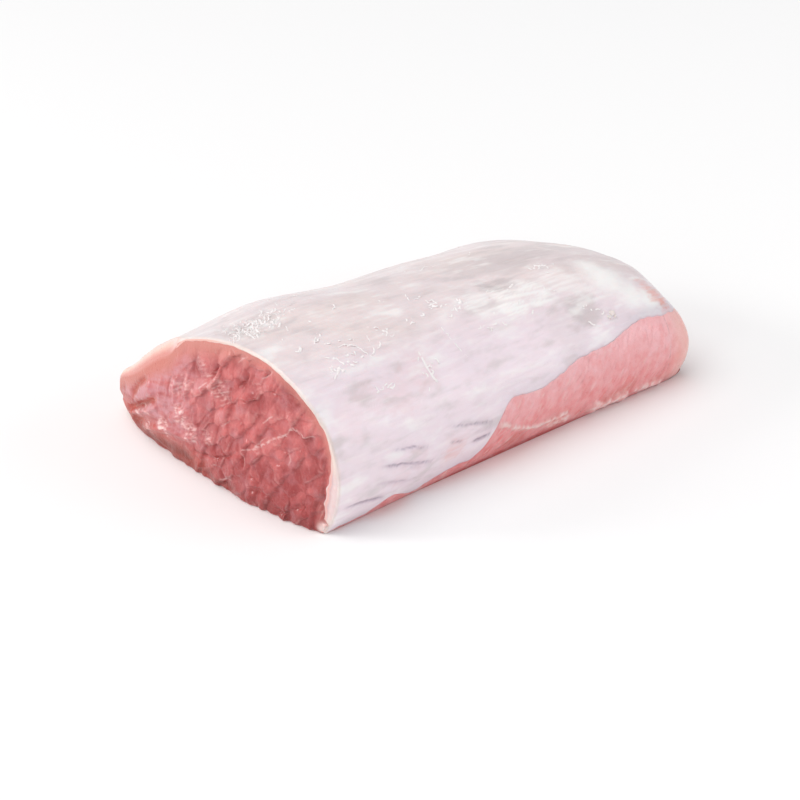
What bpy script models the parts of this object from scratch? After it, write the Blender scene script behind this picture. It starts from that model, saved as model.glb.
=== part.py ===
"""A raw boneless pork loin: the whole muscle, cut across at the front, and the fat cap that lies over its back.

Metres, +Z up. The length runs along X with the front cut at -X, the flank with a bare stretch of meat is on -Y,
the thin edge of the muscle is on +Y, and the meat rests on the floor at z = 0.
"""

import math

import bmesh
import bpy
import numpy as np
from mathutils import Vector, noise

# ---- the whole loin, from the front corner where the flank meets the floor ----
CORNER_X = -0.1016          # x of that corner
CORNER_Y = -0.0643          # y of that corner
LENGTH = 0.2060             # from the front corner to the far face
RIDGE_FROM_FLANK = 0.0380   # how far the ridge lies in from the corner, across the loin
TIP_FROM_FLANK = 0.1370     # how far the thin edge reaches from the corner
FRONT_HEIGHT = 0.0650
FAR_HEIGHT = 0.0515
HEIGHT_FALL_POWER = 1.25    # how late the ridge falls from the front height to the far one

# ---- the cross-section ----
FRONT_BULGE = 0.0088        # how far the flank overhangs its own foot, at the front cut
FRONT_BULGE_Z = 0.0240
FAR_BULGE = 0.0055
FAR_BULGE_Z = 0.0160
FLANK_HOLLOW = 0.0020       # the flank lies this much further in at mid length
TIP_Z = 0.0115              # height of the thin edge
TIP_UNDERCUT = 0.0160       # how far in under the thin edge the floor contact starts
SLOPE_POWER = 0.75          # flattens the long slope towards the thin edge
SLOPE_BLEND = math.radians(32)   # nearer the thin edge than this turn the slope rounds off
BACK_SWELL = 0.0045         # the long slope swells up by this a little behind the front cut
BACK_SWELL_AT = 0.0480
BACK_SWELL_RUN = 0.0260
BACK_SWELL_REST = 0.0010    # and by this along the rest of the loin
BACK_SWELL_SPAN = (0.3, 0.6, 0.95)   # shares of the length where that rest is full, wanes and ends

# ---- the two ends ----
FACE_BOW = 0.0072           # the front cut bulges forward by this
FACE_BOW_WIDTH = 0.1220
FACE_BOW_SKEW = 0.8         # below 1 its middle lies nearer the flank
FACE_BOW_POWER = 2.5        # above 2 the bulge is flat in the middle and turns back at its sides
FACE_BOW_LEFT = 0.3         # share of the bulge left at the top of the front cut
FAR_BOW = 0.0050
FAR_BOW_LEFT = 0.4
BOW_FADE_FROM = 0.2         # share of the height where both bulges start to fade
FAR_SHOULDER = 0.0150       # the far shoulder drops in by this
FAR_SHOULDER_RUN = 0.0550   # over this stretch of length
FAR_CORNER = 0.0025         # the same at the flank and the foot
FAR_CORNER_RUN = 0.0100
SHOULDER_BAND = (0.30, 0.95)   # shares of the far height between which corner turns into shoulder
CRISP_RIM = 0.0006          # rounding of the front rim where it is cut through the fat
BARE_RIM = 0.0065           # rounding of the front rim on the thin edge, where no fat covers it
BARE_BAND = (0.080, 0.096)  # across the loin, where the one rounding turns into the other
UNDER_RIM = 0.0008

# ---- the fat cap ----
CAP_THICKNESS = 0.0016
CAP_CORNER_EXTRA = 0.0048   # it thickens to the front corner by this
CAP_CORNER_RUN = 0.0400
CAP_CORNER_BAND = (0.25, 0.80)   # shares of the height where that extra starts to wane and ends
CAP_EDGE_SHARE = 0.40       # share of its thickness left at its long edges
CAP_EDGE_TAPER = 0.0090
CAP_FOOT_Z = 0.0044         # its lower edge on the flank, where it nearly reaches the floor
CAP_TRIM_START = 0.0740     # from here to CAP_TRIM_END the flank is trimmed bare
CAP_TRIM_END = 0.0990
CAP_TRIM_RISE = 0.0225
CAP_FAR_RISE = 0.0115
CAP_BACK_Z = 0.0270         # its edge on the hidden side
CAP_BACK_FRONT_Z = 0.0535   # the same edge at the front cut, where the thin edge is bare
CAP_BACK_RUN = 0.0240
LOW_EDGE_WAVER = 0.0011     # how far the trimmed edge wavers, and over what length
LOW_EDGE_WAVE = 0.0067
BACK_EDGE_WAVER = 0.0016
BACK_EDGE_WAVE = 0.0105
GAP = 0.0003                # between the cap and the muscle

# ---- relief of the cut face, as (y, z) from the front corner ----
BUNDLE_SIZE = 0.0085
BUNDLE_DEPTH = 0.0008
BUNDLE_DOME = 0.45          # how wide a bundle's sloping border is, as a share of the bundle
BUNDLE_MEAN = 0.6
SWELL_SIZE = 0.0300
SWELL_DEPTH = 0.0012
NOTCH = ((0.1290, 0.0070), (0.1160, 0.0082), (0.1070, 0.0135), (0.0970, 0.0200))
NOTCH_DEPTH = 0.0042
LOBE_SEAM = ((0.0900, 0.0075), (0.0780, 0.0074), (0.0610, 0.0110), (0.0480, 0.0180))
LOBE_SEAM_DEPTH = 0.0016
SEAM_WIDTH = 0.0022
UNDERCUT_TOP = 0.0085
UNDERCUT_DEPTH = 0.0034
UNDERCUT_BAND = (0.015, 0.040)   # across the loin, where the undercut sets in
RAGGED_SIZE = 0.0065
RAGGED_DEPTH = 0.0016
FRONT_SEED = 9.0            # where in the noise each cut face takes its pattern
FAR_SEED = 20.0
CALM_RIM = 0.0040           # beside the fat's cut edge the face's relief fades out over this

# ---- relief of the skin ----
SKIN_SWELL_SIZE = 0.0350
SKIN_SWELL_DEPTH = 0.0006
SKIN_CALM_Z = 0.0060        # below this height the swells fade out

# ---- mesh counts ----
FLANK_CELLS = 7
CAP_CELLS = 30
THIN_EDGE_CELLS = 6
FACE_ROWS = 16
DENSE_STEPS = 160
FRONT_STATIONS = (0.0, 0.0007, 0.0018, 0.0036, 0.0062, 0.0100)
FAR_STATIONS = (0.0290, 0.0200, 0.0130, 0.0075, 0.0035, 0.0010, 0.0)
MIDDLE_STATIONS = 15

LEAN_COLOUR = (0.595, 0.190, 0.185)
LEAN_ROUGHNESS = 0.38
FAT_COLOUR = (0.800, 0.700, 0.705)
FAT_ROUGHNESS = 0.42


def ease(low, high, value):
    """Smooth step from 0 at low to 1 at high."""
    share = np.clip((np.asarray(value, float) - low) / (high - low), 0.0, 1.0)
    return share * share * (3.0 - 2.0 * share)


def lengths_along(points):
    """Distance of each point of a polyline from its start, along the line."""
    steps = np.linalg.norm(np.diff(points, axis=0), axis=1)
    return np.concatenate([[0.0], np.cumsum(steps)])


def walk(values, along, where):
    """Two-column values given along a line, read at other places along it."""
    return np.stack([np.interp(where, along, values[:, column]) for column in (0, 1)], axis=1)


def normals_of(points):
    """Unit normals of a polyline, to its left."""
    tangent = np.gradient(points, axis=0)
    normal = np.stack([-tangent[:, 1], tangent[:, 0]], axis=1)
    return normal / np.maximum(np.linalg.norm(normal, axis=1, keepdims=True), 1e-12)


def ridge_height(share):
    return FRONT_HEIGHT - (FRONT_HEIGHT - FAR_HEIGHT) * share**HEIGHT_FALL_POWER


def back_swell(length):
    """How far the long slope stands out, along the loin."""
    near = BACK_SWELL * math.exp(-(((length - BACK_SWELL_AT) / BACK_SWELL_RUN) ** 2))
    full, wane, end = BACK_SWELL_SPAN
    rest = ease(0.0, full, length / LENGTH) * (1 - ease(wane, end, length / LENGTH))
    return near + BACK_SWELL_REST * float(rest)


def upper_arc(share):
    """The section from the foot of the flank over the ridge to the thin edge, at a share of the length."""
    height = ridge_height(share)
    bulge = FRONT_BULGE + (FAR_BULGE - FRONT_BULGE) * share
    bulge_z = FRONT_BULGE_Z + (FAR_BULGE_Z - FRONT_BULGE_Z) * share
    rise = np.linspace(0.0, 1.0, DENSE_STEPS)
    foot = np.stack([-bulge + bulge * (1 - rise) ** 2, bulge_z * rise], axis=1)
    turn = np.linspace(0.0, math.pi / 2, DENSE_STEPS)
    flank = np.stack(
        [
            RIDGE_FROM_FLANK - (RIDGE_FROM_FLANK + bulge) * np.cos(turn),
            bulge_z + (height - bulge_z) * np.sin(turn),
        ],
        axis=1,
    )
    power = 1.0 + SLOPE_POWER * ease(0.0, SLOPE_BLEND, turn)
    slope = np.stack(
        [
            RIDGE_FROM_FLANK + (TIP_FROM_FLANK - RIDGE_FROM_FLANK) * np.cos(turn),
            TIP_Z + (height - TIP_Z) * np.sin(turn) ** power + back_swell(share * LENGTH) * np.sin(2 * turn),
        ],
        axis=1,
    )[::-1]
    arc = np.concatenate([foot, flank[1:], slope[1:]])
    hollow = FLANK_HOLLOW * math.sin(math.pi * share) ** 2
    arc[:, 0] += hollow * (1 - ease(0.0, RIDGE_FROM_FLANK, arc[:, 0]))
    return arc


def lower_arc():
    """The section from the foot of the flank along the floor to the thin edge."""
    turn = np.linspace(math.pi / 2, 0.0, DENSE_STEPS)
    under = np.stack(
        [TIP_FROM_FLANK - TIP_UNDERCUT * (1 - np.cos(turn)), TIP_Z * (1 - np.sin(turn))], axis=1
    )
    return np.concatenate([[[0.0, 0.0]], under])


def front_x(y, z):
    """The front cut: it bulges forward low in the middle and turns back at the thin edge."""
    across = (np.maximum(y, 0.0) / FACE_BOW_WIDTH) ** FACE_BOW_SKEW
    bow = 1 - np.abs(1 - 2 * across) ** FACE_BOW_POWER
    fade = ease(BOW_FADE_FROM, 1.0, z / FRONT_HEIGHT)
    return -FACE_BOW * bow * (1 - (1 - FACE_BOW_LEFT) * fade)


def far_x(y, z):
    """The far cut bulges a little all over."""
    across = 2 * y / TIP_FROM_FLANK - 1
    fade = ease(BOW_FADE_FROM, 1.0, z / FRONT_HEIGHT)
    return LENGTH + FAR_BOW * (1 - across**2) * (1 - (1 - FAR_BOW_LEFT) * fade)


def rim_inset(reach, depth, distance):
    """How far a rounded rim has dropped in at a distance from the end: a quarter of an ellipse."""
    inward = np.clip(1 - distance / reach, 0.0, 1.0)
    return depth * (1 - np.sqrt(1 - inward**2))


def cap_low_edge(length):
    """Height of the cap's lower edge on the flank, along the loin."""
    trimmed = CAP_TRIM_RISE * ease(CAP_TRIM_START, CAP_TRIM_END, length)
    climb = CAP_FAR_RISE * ease(CAP_TRIM_END, LENGTH, length)
    waver = LOW_EDGE_WAVER * math.sin(length / LOW_EDGE_WAVE) * ease(CAP_TRIM_START, CAP_TRIM_END, length)
    return CAP_FOOT_Z + trimmed + climb + waver


def cap_back_edge(length):
    """Height of the cap's edge on the side of the thin edge, along the loin."""
    fall = ease(0.0, CAP_BACK_RUN, length)
    waver = BACK_EDGE_WAVER * math.sin(length / BACK_EDGE_WAVE) * fall
    return CAP_BACK_FRONT_Z + (CAP_BACK_Z - CAP_BACK_FRONT_Z) * fall + waver


def cap_edges(arc, along, length):
    """Where along the upper arc the cap starts and ends."""
    top = int(np.argmax(arc[:, 1]))
    low = np.interp(cap_low_edge(length), arc[: top + 1, 1], along[: top + 1])
    back = np.interp(-cap_back_edge(length), -arc[top:, 1], along[top:])
    return low, back


def cap_thickness(length, points, inside):
    """Thickness of the fat, thin at its edges and thickest at the front corner. inside is how far in a point lies."""
    on_flank = 1 - ease(*CAP_CORNER_BAND, points[:, 1] / FRONT_HEIGHT)
    on_flank = np.where(points[:, 0] < RIDGE_FROM_FLANK, on_flank, 0.0)
    full = CAP_THICKNESS + CAP_CORNER_EXTRA * on_flank * math.exp(-length / CAP_CORNER_RUN)
    return full * (CAP_EDGE_SHARE + (1 - CAP_EDGE_SHARE) * ease(0.0, CAP_EDGE_TAPER, inside))


def skin_swell(x, y, z):
    """Soft lumps of the surface."""
    at = Vector((x, y, z)) / SKIN_SWELL_SIZE
    return SKIN_SWELL_DEPTH * noise.noise(at)


def rounded_in(points, normals, length):
    """Section points with the roundings of both ends and the soft lumps, for a row of points."""
    reach = CRISP_RIM + (BARE_RIM - CRISP_RIM) * ease(*BARE_BAND, points[:, 0])
    high = ease(*SHOULDER_BAND, points[:, 1] / FAR_HEIGHT)
    far_depth = FAR_CORNER + (FAR_SHOULDER - FAR_CORNER) * high
    far_run = FAR_CORNER_RUN + (FAR_SHOULDER_RUN - FAR_CORNER_RUN) * high
    inset = rim_inset(reach, reach, length) + rim_inset(far_run, far_depth, LENGTH - length)
    swell = np.array([skin_swell(length, y, z) for y, z in points])
    return points + normals * (swell * ease(0.0, SKIN_CALM_Z, points[:, 1]) - inset)[:, None]


def to_world(points, length):
    """Section points (y, z) at a length from the front, as world points on the bowed stations."""
    front = front_x(points[:, 0], points[:, 1])
    far = far_x(points[:, 0], points[:, 1])
    x = front + (far - front) * (length / LENGTH)
    return np.stack([CORNER_X + x, CORNER_Y + points[:, 0], points[:, 1]], axis=1)


class Station:
    """One cross-section of the loin, at a length from the front cut."""

    def __init__(self, length):
        self.length = length
        self.arc = upper_arc(length / LENGTH)
        self.along = lengths_along(self.arc)
        self.low, self.back = cap_edges(self.arc, self.along, length)
        self.covered = np.linspace(self.low, self.back, CAP_CELLS + 1)
        self.flank = np.linspace(0.0, self.low - GAP, FLANK_CELLS + 1)
        self.thin_edge = np.linspace(self.back + GAP, self.along[-1], THIN_EDGE_CELLS + 1)

    def skin(self, where):
        """Outer points at places along the upper arc, and their normals."""
        points = walk(self.arc, self.along, where)
        normals = walk(normals_of(self.arc), self.along, where)
        return rounded_in(points, normals, self.length), normals

    def thickness(self, where):
        """Thickness of the fat at places along the upper arc."""
        inside = np.minimum(where - self.low, self.back - where)
        return cap_thickness(self.length, walk(self.arc, self.along, where), inside)

    def cap_rows(self):
        """World points of the cap's outer and inner faces."""
        outer, normals = self.skin(self.covered)
        inner = outer - normals * self.thickness(self.covered)[:, None]
        return to_world(outer, self.length), to_world(inner, self.length)

    def lean_upper(self):
        """The muscle's upper outline: bare flank, ledge, bed under the cap, ledge, bare thin edge."""
        bed = np.concatenate([[self.flank[-1]], self.covered[1:-1], [self.thin_edge[0]]])
        flank, _ = self.skin(self.flank)
        thin_edge, _ = self.skin(self.thin_edge)
        over, normals = self.skin(bed)
        sunk = over - normals * (self.thickness(bed) + GAP)[:, None]
        return np.concatenate([flank, sunk, thin_edge])

    def lean_lower(self, count):
        """The muscle's outline along the floor, with as many points as the upper one."""
        arc = lower_arc()
        along = lengths_along(arc)
        points = walk(arc, along, np.linspace(0.0, along[-1], count))
        rim = rim_inset(UNDER_RIM, UNDER_RIM, self.length)
        rim += rim_inset(FAR_CORNER_RUN, FAR_CORNER, LENGTH - self.length)
        points[:, 1] += rim
        return points


def distance_to_line(y, z, line):
    """Distance from a point to a polyline, and the share of the polyline's length where it is nearest."""
    best, where, done = 1.0, 0.0, 0.0
    total = sum(math.dist(a, b) for a, b in zip(line, line[1:]))
    for (y0, z0), (y1, z1) in zip(line, line[1:]):
        run = math.dist((y0, z0), (y1, z1))
        share = ((y - y0) * (y1 - y0) + (z - z0) * (z1 - z0)) / run**2
        share = min(max(share, 0.0), 1.0)
        gap = math.dist((y, z), (y0 + share * (y1 - y0), z0 + share * (z1 - z0)))
        if gap < best:
            best, where = gap, (done + share * run) / total
        done += run
    return best, where


def bundles(y, z, seed):
    """Muscle bundles end on: domes between narrow grooves, from 0 in a groove to 1 on a dome."""
    near, _ = noise.voronoi(Vector((y / BUNDLE_SIZE, z / BUNDLE_SIZE, seed)))
    return float(ease(0.0, BUNDLE_DOME, near[1] - near[0]))


def face_relief(y, z, seed):
    """How far a cut face stands out of its smooth form at a point."""
    swell = SWELL_DEPTH * noise.noise(Vector((y / SWELL_SIZE, z / SWELL_SIZE, seed)))
    return swell + BUNDLE_DEPTH * (bundles(y, z, seed) - BUNDLE_MEAN)


def front_relief(y, z):
    """The front cut's own relief: bundles, the notch at the thin edge, the lobe's seam and the ragged foot."""
    relief = face_relief(y, z, FRONT_SEED)
    gap, where = distance_to_line(y, z, NOTCH)
    relief -= NOTCH_DEPTH * (1 - where) * math.exp(-((gap / SEAM_WIDTH) ** 2))
    gap, _ = distance_to_line(y, z, LOBE_SEAM)
    relief -= LOBE_SEAM_DEPTH * math.exp(-((gap / SEAM_WIDTH) ** 2))
    foot = float(1 - ease(0.0, UNDERCUT_TOP, z)) * float(ease(*UNDERCUT_BAND, y))
    ragged = noise.noise(Vector((y / RAGGED_SIZE, z / RAGGED_SIZE, FRONT_SEED)))
    return relief - foot * (UNDERCUT_DEPTH + RAGGED_DEPTH * ragged)


def cut_face(upper, lower, base, relief, outward):
    """World points of a cut face as columns from the upper outline down to the lower one, calm beside the fat."""
    beside_cap = np.zeros(len(upper), bool)
    beside_cap[FLANK_CELLS : FLANK_CELLS + CAP_CELLS + 3] = True
    rows = []
    for step in range(FACE_ROWS + 1):
        share = step / FACE_ROWS
        points = upper * (1 - share) + lower * share
        from_rim = np.minimum(1.0, np.linalg.norm(points - upper, axis=1) / CALM_RIM)
        calm = np.where(beside_cap, from_rim, 1.0)
        rise = np.array([relief(y, z) for y, z in points]) * calm
        x = base(points[:, 0], points[:, 1]) + outward * rise
        rows.append(np.stack([CORNER_X + x, CORNER_Y + points[:, 0], points[:, 1]], axis=1))
    return rows


def station_lengths():
    """Lengths of all stations, close together at both ends."""
    last = LENGTH - FAR_STATIONS[0]
    middle = np.linspace(FRONT_STATIONS[-1], last, MIDDLE_STATIONS + 2)[1:-1]
    return [*FRONT_STATIONS, *middle, *(LENGTH - gap for gap in FAR_STATIONS)]


def weave(bm, rows, turned=False):
    """Faces between neighbouring rows of vertices. Where two corners are one vertex the face is a triangle."""
    for one, two in zip(rows, rows[1:]):
        for index in range(len(one) - 1):
            corners = [one[index], two[index], two[index + 1], one[index + 1]]
            corners = list(dict.fromkeys(corners))
            if len(corners) > 2:
                bm.faces.new(reversed(corners) if turned else corners)


def finish_mesh(bm, name, material, sharp_angle):
    """Turn the built mesh into a named object with its material, faces outward and shaded smooth."""
    bmesh.ops.recalc_face_normals(bm, faces=bm.faces)
    bmesh.ops.triangulate(bm, faces=bm.faces)
    mesh = bpy.data.meshes.new(name)
    bm.to_mesh(mesh)
    bm.free()
    mesh.shade_smooth()
    mesh.set_sharp_from_angle(angle=sharp_angle)
    mesh.materials.append(material)
    obj = bpy.data.objects.new(name, mesh)
    bpy.context.scene.collection.objects.link(obj)
    return obj


def principled(name, colour, roughness):
    material = bpy.data.materials.new(name)
    material.use_nodes = True
    shader = next(node for node in material.node_tree.nodes if node.type == "BSDF_PRINCIPLED")
    shader.inputs["Base Color"].default_value = (*colour, 1.0)
    shader.inputs["Roughness"].default_value = roughness
    shader.inputs["Metallic"].default_value = 0.0
    return material


def build_lean(stations):
    """The muscle: a skin of stations closed by the two cut faces."""
    bm = bmesh.new()
    skin_upper, skin_lower = [], []
    outlines = []
    for station in stations:
        upper = station.lean_upper()
        lower = station.lean_lower(len(upper))
        lower[0], lower[-1] = upper[0], upper[-1]
        outlines.append((upper, lower))
    front = cut_face(*outlines[0], front_x, front_relief, -1)
    far = cut_face(*outlines[-1], far_x, lambda y, z: face_relief(y, z, FAR_SEED), 1)
    rings = [(front[0], front[-1])]
    for station, (upper, lower) in zip(stations[1:-1], outlines[1:-1]):
        rings.append((to_world(upper, station.length), to_world(lower, station.length)))
    rings.append((far[0], far[-1]))
    for upper, lower in rings:
        top = [bm.verts.new(point) for point in upper]
        under = [top[0], *(bm.verts.new(point) for point in lower[1:-1]), top[-1]]
        skin_upper.append(top)
        skin_lower.append(under)
    weave(bm, skin_upper)
    weave(bm, skin_lower, turned=True)
    for face, top, under in ((front, skin_upper[0], skin_lower[0]), (far, skin_upper[-1], skin_lower[-1])):
        inner = [
            [top[0], *(bm.verts.new(point) for point in row[1:-1]), top[-1]] for row in face[1:-1]
        ]
        weave(bm, [top, *inner, under])
    return finish_mesh(bm, "lean", principled("lean", LEAN_COLOUR, LEAN_ROUGHNESS), math.radians(50))


def build_cap(stations):
    """The fat cap: a thin shell between its outer skin and its bed, closed along all four edges."""
    bm = bmesh.new()
    outer, inner = [], []
    for station in stations:
        over, under = station.cap_rows()
        outer.append([bm.verts.new(point) for point in over])
        inner.append([bm.verts.new(point) for point in under])
    weave(bm, outer)
    weave(bm, inner, turned=True)
    for row in (0, -1):
        weave(bm, [outer[row], inner[row]])
    for column in (0, -1):
        weave(bm, [[row[column] for row in outer], [row[column] for row in inner]])
    return finish_mesh(bm, "fat_cap", principled("fat", FAT_COLOUR, FAT_ROUGHNESS), math.radians(50))


def main():
    for obj in list(bpy.data.objects):
        bpy.data.objects.remove(obj, do_unlink=True)
    stations = [Station(length) for length in station_lengths()]
    build_lean(stations)
    build_cap(stations)


if __name__ == "__main__":
    main()
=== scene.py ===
"""A raw boneless pork loin, dressed for a picture.

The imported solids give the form. The muscle is shown as three meshes that meet under the fat: the front cut,
the body and the far cut. The fat is one layer over them, with loose fibres and knots of fat on top.
Metres, +Z up.
"""

import logging
import math
from dataclasses import dataclass
from enum import Enum
from itertools import product

import bmesh
import bpy
import numpy as np
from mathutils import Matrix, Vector, noise
from mathutils.bvhtree import BVHTree


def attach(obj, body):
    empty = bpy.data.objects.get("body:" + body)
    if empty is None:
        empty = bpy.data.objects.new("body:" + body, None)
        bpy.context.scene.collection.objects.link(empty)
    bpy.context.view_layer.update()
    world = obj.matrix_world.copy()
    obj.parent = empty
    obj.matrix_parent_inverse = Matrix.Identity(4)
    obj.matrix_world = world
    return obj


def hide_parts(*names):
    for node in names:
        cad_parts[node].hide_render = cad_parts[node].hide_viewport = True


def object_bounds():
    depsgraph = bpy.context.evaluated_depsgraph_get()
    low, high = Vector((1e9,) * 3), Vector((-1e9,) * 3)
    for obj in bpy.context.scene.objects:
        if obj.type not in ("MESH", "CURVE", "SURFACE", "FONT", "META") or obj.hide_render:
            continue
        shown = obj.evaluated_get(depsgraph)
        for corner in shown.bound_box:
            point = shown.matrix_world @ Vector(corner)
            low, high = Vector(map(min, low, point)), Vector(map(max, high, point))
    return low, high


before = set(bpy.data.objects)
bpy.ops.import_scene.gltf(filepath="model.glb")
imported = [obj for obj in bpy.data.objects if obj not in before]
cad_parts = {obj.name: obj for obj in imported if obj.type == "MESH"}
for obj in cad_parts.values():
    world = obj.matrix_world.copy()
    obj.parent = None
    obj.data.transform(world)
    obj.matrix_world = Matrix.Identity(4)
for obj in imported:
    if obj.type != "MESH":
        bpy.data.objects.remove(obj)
CAD_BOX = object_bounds()

LOG = logging.getLogger("pork_loin")
Array = np.ndarray
Colour = tuple[float, float, float]
Pixel = tuple[float, float]
Pair = tuple[float, float]
Point = tuple[float, float, float]
Piece = bpy.types.Object
Finish = bpy.types.Material
Socket = bpy.types.NodeSocket
MM = 0.001
MIDDLE: Point = (0.0, 0.0, 0.02)     # a place inside the loin


def tint(red: int, green: int, blue: int) -> Colour:
    """A colour as a screen shows it, 0 to 255, turned into the linear values that a shader takes.

    Args:
        red: Red as shown.
        green: Green as shown.
        blue: Blue as shown.

    Returns:
        The linear red, green and blue.
    """
    return tuple(
        share / 12.92 if share <= 0.04045 else ((share + 0.055) / 1.055) ** 2.4
        for share in (red / 255, green / 255, blue / 255)
    )


def ease(low: float, high: Array | float, value: Array | float) -> Array:
    """Smooth step of a value, from 0 at low to 1 at high."""
    share = np.clip((np.asarray(value, float) - low) / (high - low), 0.0, 1.0)
    return share * share * (3.0 - 2.0 * share)


def wane(low: float, high: Array | float, value: Array | float) -> Array:
    """Smooth step of a value, from 1 at low to 0 at high."""
    return 1 - ease(low, high, value)


def bell(centre: float, reach: float, value: Array | float) -> Array:
    """Bell curve of a value: 1 at the centre, about a third at the reach from there."""
    return np.exp(-(((np.asarray(value, float) - centre) / reach) ** 2))


def lengths_along(points: Array) -> Array:
    """Distance of each point of a polyline from its start, along the line."""
    steps = np.linalg.norm(np.diff(points, axis=0), axis=1)
    return np.concatenate([[0.0], np.cumsum(steps)])


def walk(values: Array, along: Array, where: Array) -> Array:
    """Rows of values given at places along a line, read at other places along it."""
    return np.stack([np.interp(where, along, values[:, column]) for column in range(values.shape[1])], axis=1)


def normals_of(points: Array) -> Array:
    """Unit normals of a flat polyline, to its left."""
    tangent = np.gradient(points, axis=0)
    normal = np.stack([-tangent[:, 1], tangent[:, 0]], axis=1)
    return normal / np.maximum(np.linalg.norm(normal, axis=1, keepdims=True), 1e-12)


def grid_normals(points: Array, centre: Array) -> Array:
    """Unit normals of a surface given as rows of points.

    Args:
        points: The grid, rows by columns by 3.
        centre: A point on the inner side.

    Returns:
        The normals, facing away from the centre on the whole.
    """
    normal = np.cross(np.gradient(points, axis=0), np.gradient(points, axis=1))
    normal /= np.maximum(np.linalg.norm(normal, axis=2, keepdims=True), 1e-12)
    outward = np.sum(normal * (points - centre))
    return normal if outward > 0 else -normal


def added(name: str, data: bpy.types.ID) -> Piece:
    """A new object of the scene that shows a mesh, lamp or camera."""
    piece = bpy.data.objects.new(name, data)
    bpy.context.scene.collection.objects.link(piece)
    return piece


def face_along(piece: Piece, way: Vector) -> None:
    """Turns a lamp or camera to look along a direction."""
    piece.rotation_mode = "QUATERNION"
    piece.rotation_quaternion = way.to_track_quat("-Z", "Y")


class Grain:
    """Smooth noise in three dimensions for whole arrays of points. One seed always gives the same."""

    def __init__(self, seed: int) -> None:
        """Draws the slopes.

        Args:
            seed: Which noise.
        """
        draw = np.random.default_rng(seed)
        self.order = draw.permutation(256)
        slopes = draw.normal(size=(256, 3))
        self.slopes = slopes / np.linalg.norm(slopes, axis=1, keepdims=True)

    def at(self, points: Array) -> Array:
        """The noise at points.

        Args:
            points: Points, in units of one lump.

        Returns:
            About -1 to 1 for each point.
        """
        cell = np.floor(points).astype(int)
        part = points - cell
        fade = part**3 * (part * (part * 6 - 15) + 10)
        total = np.zeros(points.shape[:-1])
        for corner in product((0, 1), repeat=3):
            key = self.order[(cell[..., 0] + corner[0]) & 255]
            key = self.order[(key + cell[..., 1] + corner[1]) & 255]
            key = self.order[(key + cell[..., 2] + corner[2]) & 255]
            value = np.sum(self.slopes[key] * (part - corner), axis=-1)
            total += value * np.prod(np.where(corner, fade, 1 - fade), axis=-1)
        return total * 1.6

    def of(self, x: Array, y: Array, z: Array) -> Array:
        """The noise at points given by their three coordinates."""
        return self.at(np.stack(np.broadcast_arrays(x, y, z), axis=-1))

    def layered(self, points: Array, count: int = 3, gain: float = 0.5) -> Array:
        """The noise with finer noise on it: how many sizes, and how much weaker each finer one is."""
        total = sum(gain**turn * self.at(points * 2.03**turn + 7.1 * turn) for turn in range(count))
        return total / sum(gain**turn for turn in range(count))


UNEVEN = Grain(2)


@dataclass
class Cells:
    """What a bundle field says of each point."""

    border: Array   # distance to the border of the bundle, in metres
    lots: Array     # three random numbers of the bundle, 0 to 1
    offset: Array   # where in the bundle the point lies, in bundle sizes


@dataclass
class BundleField:
    """Muscle bundles seen at a surface: cells with narrow borders, drawn out in one direction."""

    size: float
    stretch: float
    turn: Array | float     # direction that the bundles are drawn out in
    seed: int
    warp: float = 0.35
    jitter: float = 0.42    # how far a bundle's middle strays from the middle of its square

    def cells(self, across: Array, up: Array) -> Cells:
        """Finds the bundle of each point.

        Args:
            across: First coordinate on the surface, in metres.
            up: Second coordinate on it.

        Returns:
            Border distance, random numbers and place in the bundle.
        """
        draw = np.random.default_rng(self.seed)
        order = draw.permutation(1024)
        jitter = draw.uniform(-self.jitter, self.jitter, (1024, 2))
        lots = draw.uniform(size=(1024, 3))
        grain = Grain(self.seed)
        turned = self.turn
        long_way = (across * np.cos(turned) + up * np.sin(turned)) / (self.size * self.stretch)
        short_way = (up * np.cos(turned) - across * np.sin(turned)) / self.size
        bend = grain.of(long_way * 0.7, short_way * 0.7, 0.5) * self.warp
        sway = grain.of(long_way * 0.7, short_way * 0.7, 9.5) * self.warp
        spot = np.stack([long_way + bend, short_way + sway], axis=-1)
        cell = np.floor(spot).astype(int)
        shape = spot.shape[:-1]
        first, second = np.full(shape, 9.0), np.full(shape, 9.0)
        near, next_near = np.zeros(spot.shape), np.ones(spot.shape)
        owner = np.zeros(shape, int)
        for step in product((-2, -1, 0, 1, 2), repeat=2):
            there = cell + step
            key = order[(order[there[..., 0] & 1023] + there[..., 1]) & 1023]
            centre = there + 0.5 + jitter[key]
            gap = np.linalg.norm(spot - centre, axis=-1)
            closer = gap < first
            runner = ~closer & (gap < second)
            second = np.where(closer, first, np.where(runner, gap, second))
            next_near = np.where(closer[..., None], near, np.where(runner[..., None], centre, next_near))
            first = np.where(closer, gap, first)
            near = np.where(closer[..., None], centre, near)
            owner = np.where(closer, key, owner)
        apart = np.maximum(np.linalg.norm(near - next_near, axis=-1), 1e-6)
        border = (second**2 - first**2) / (2 * apart) * self.size
        return Cells(border, lots[owner], spot - near)


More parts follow.
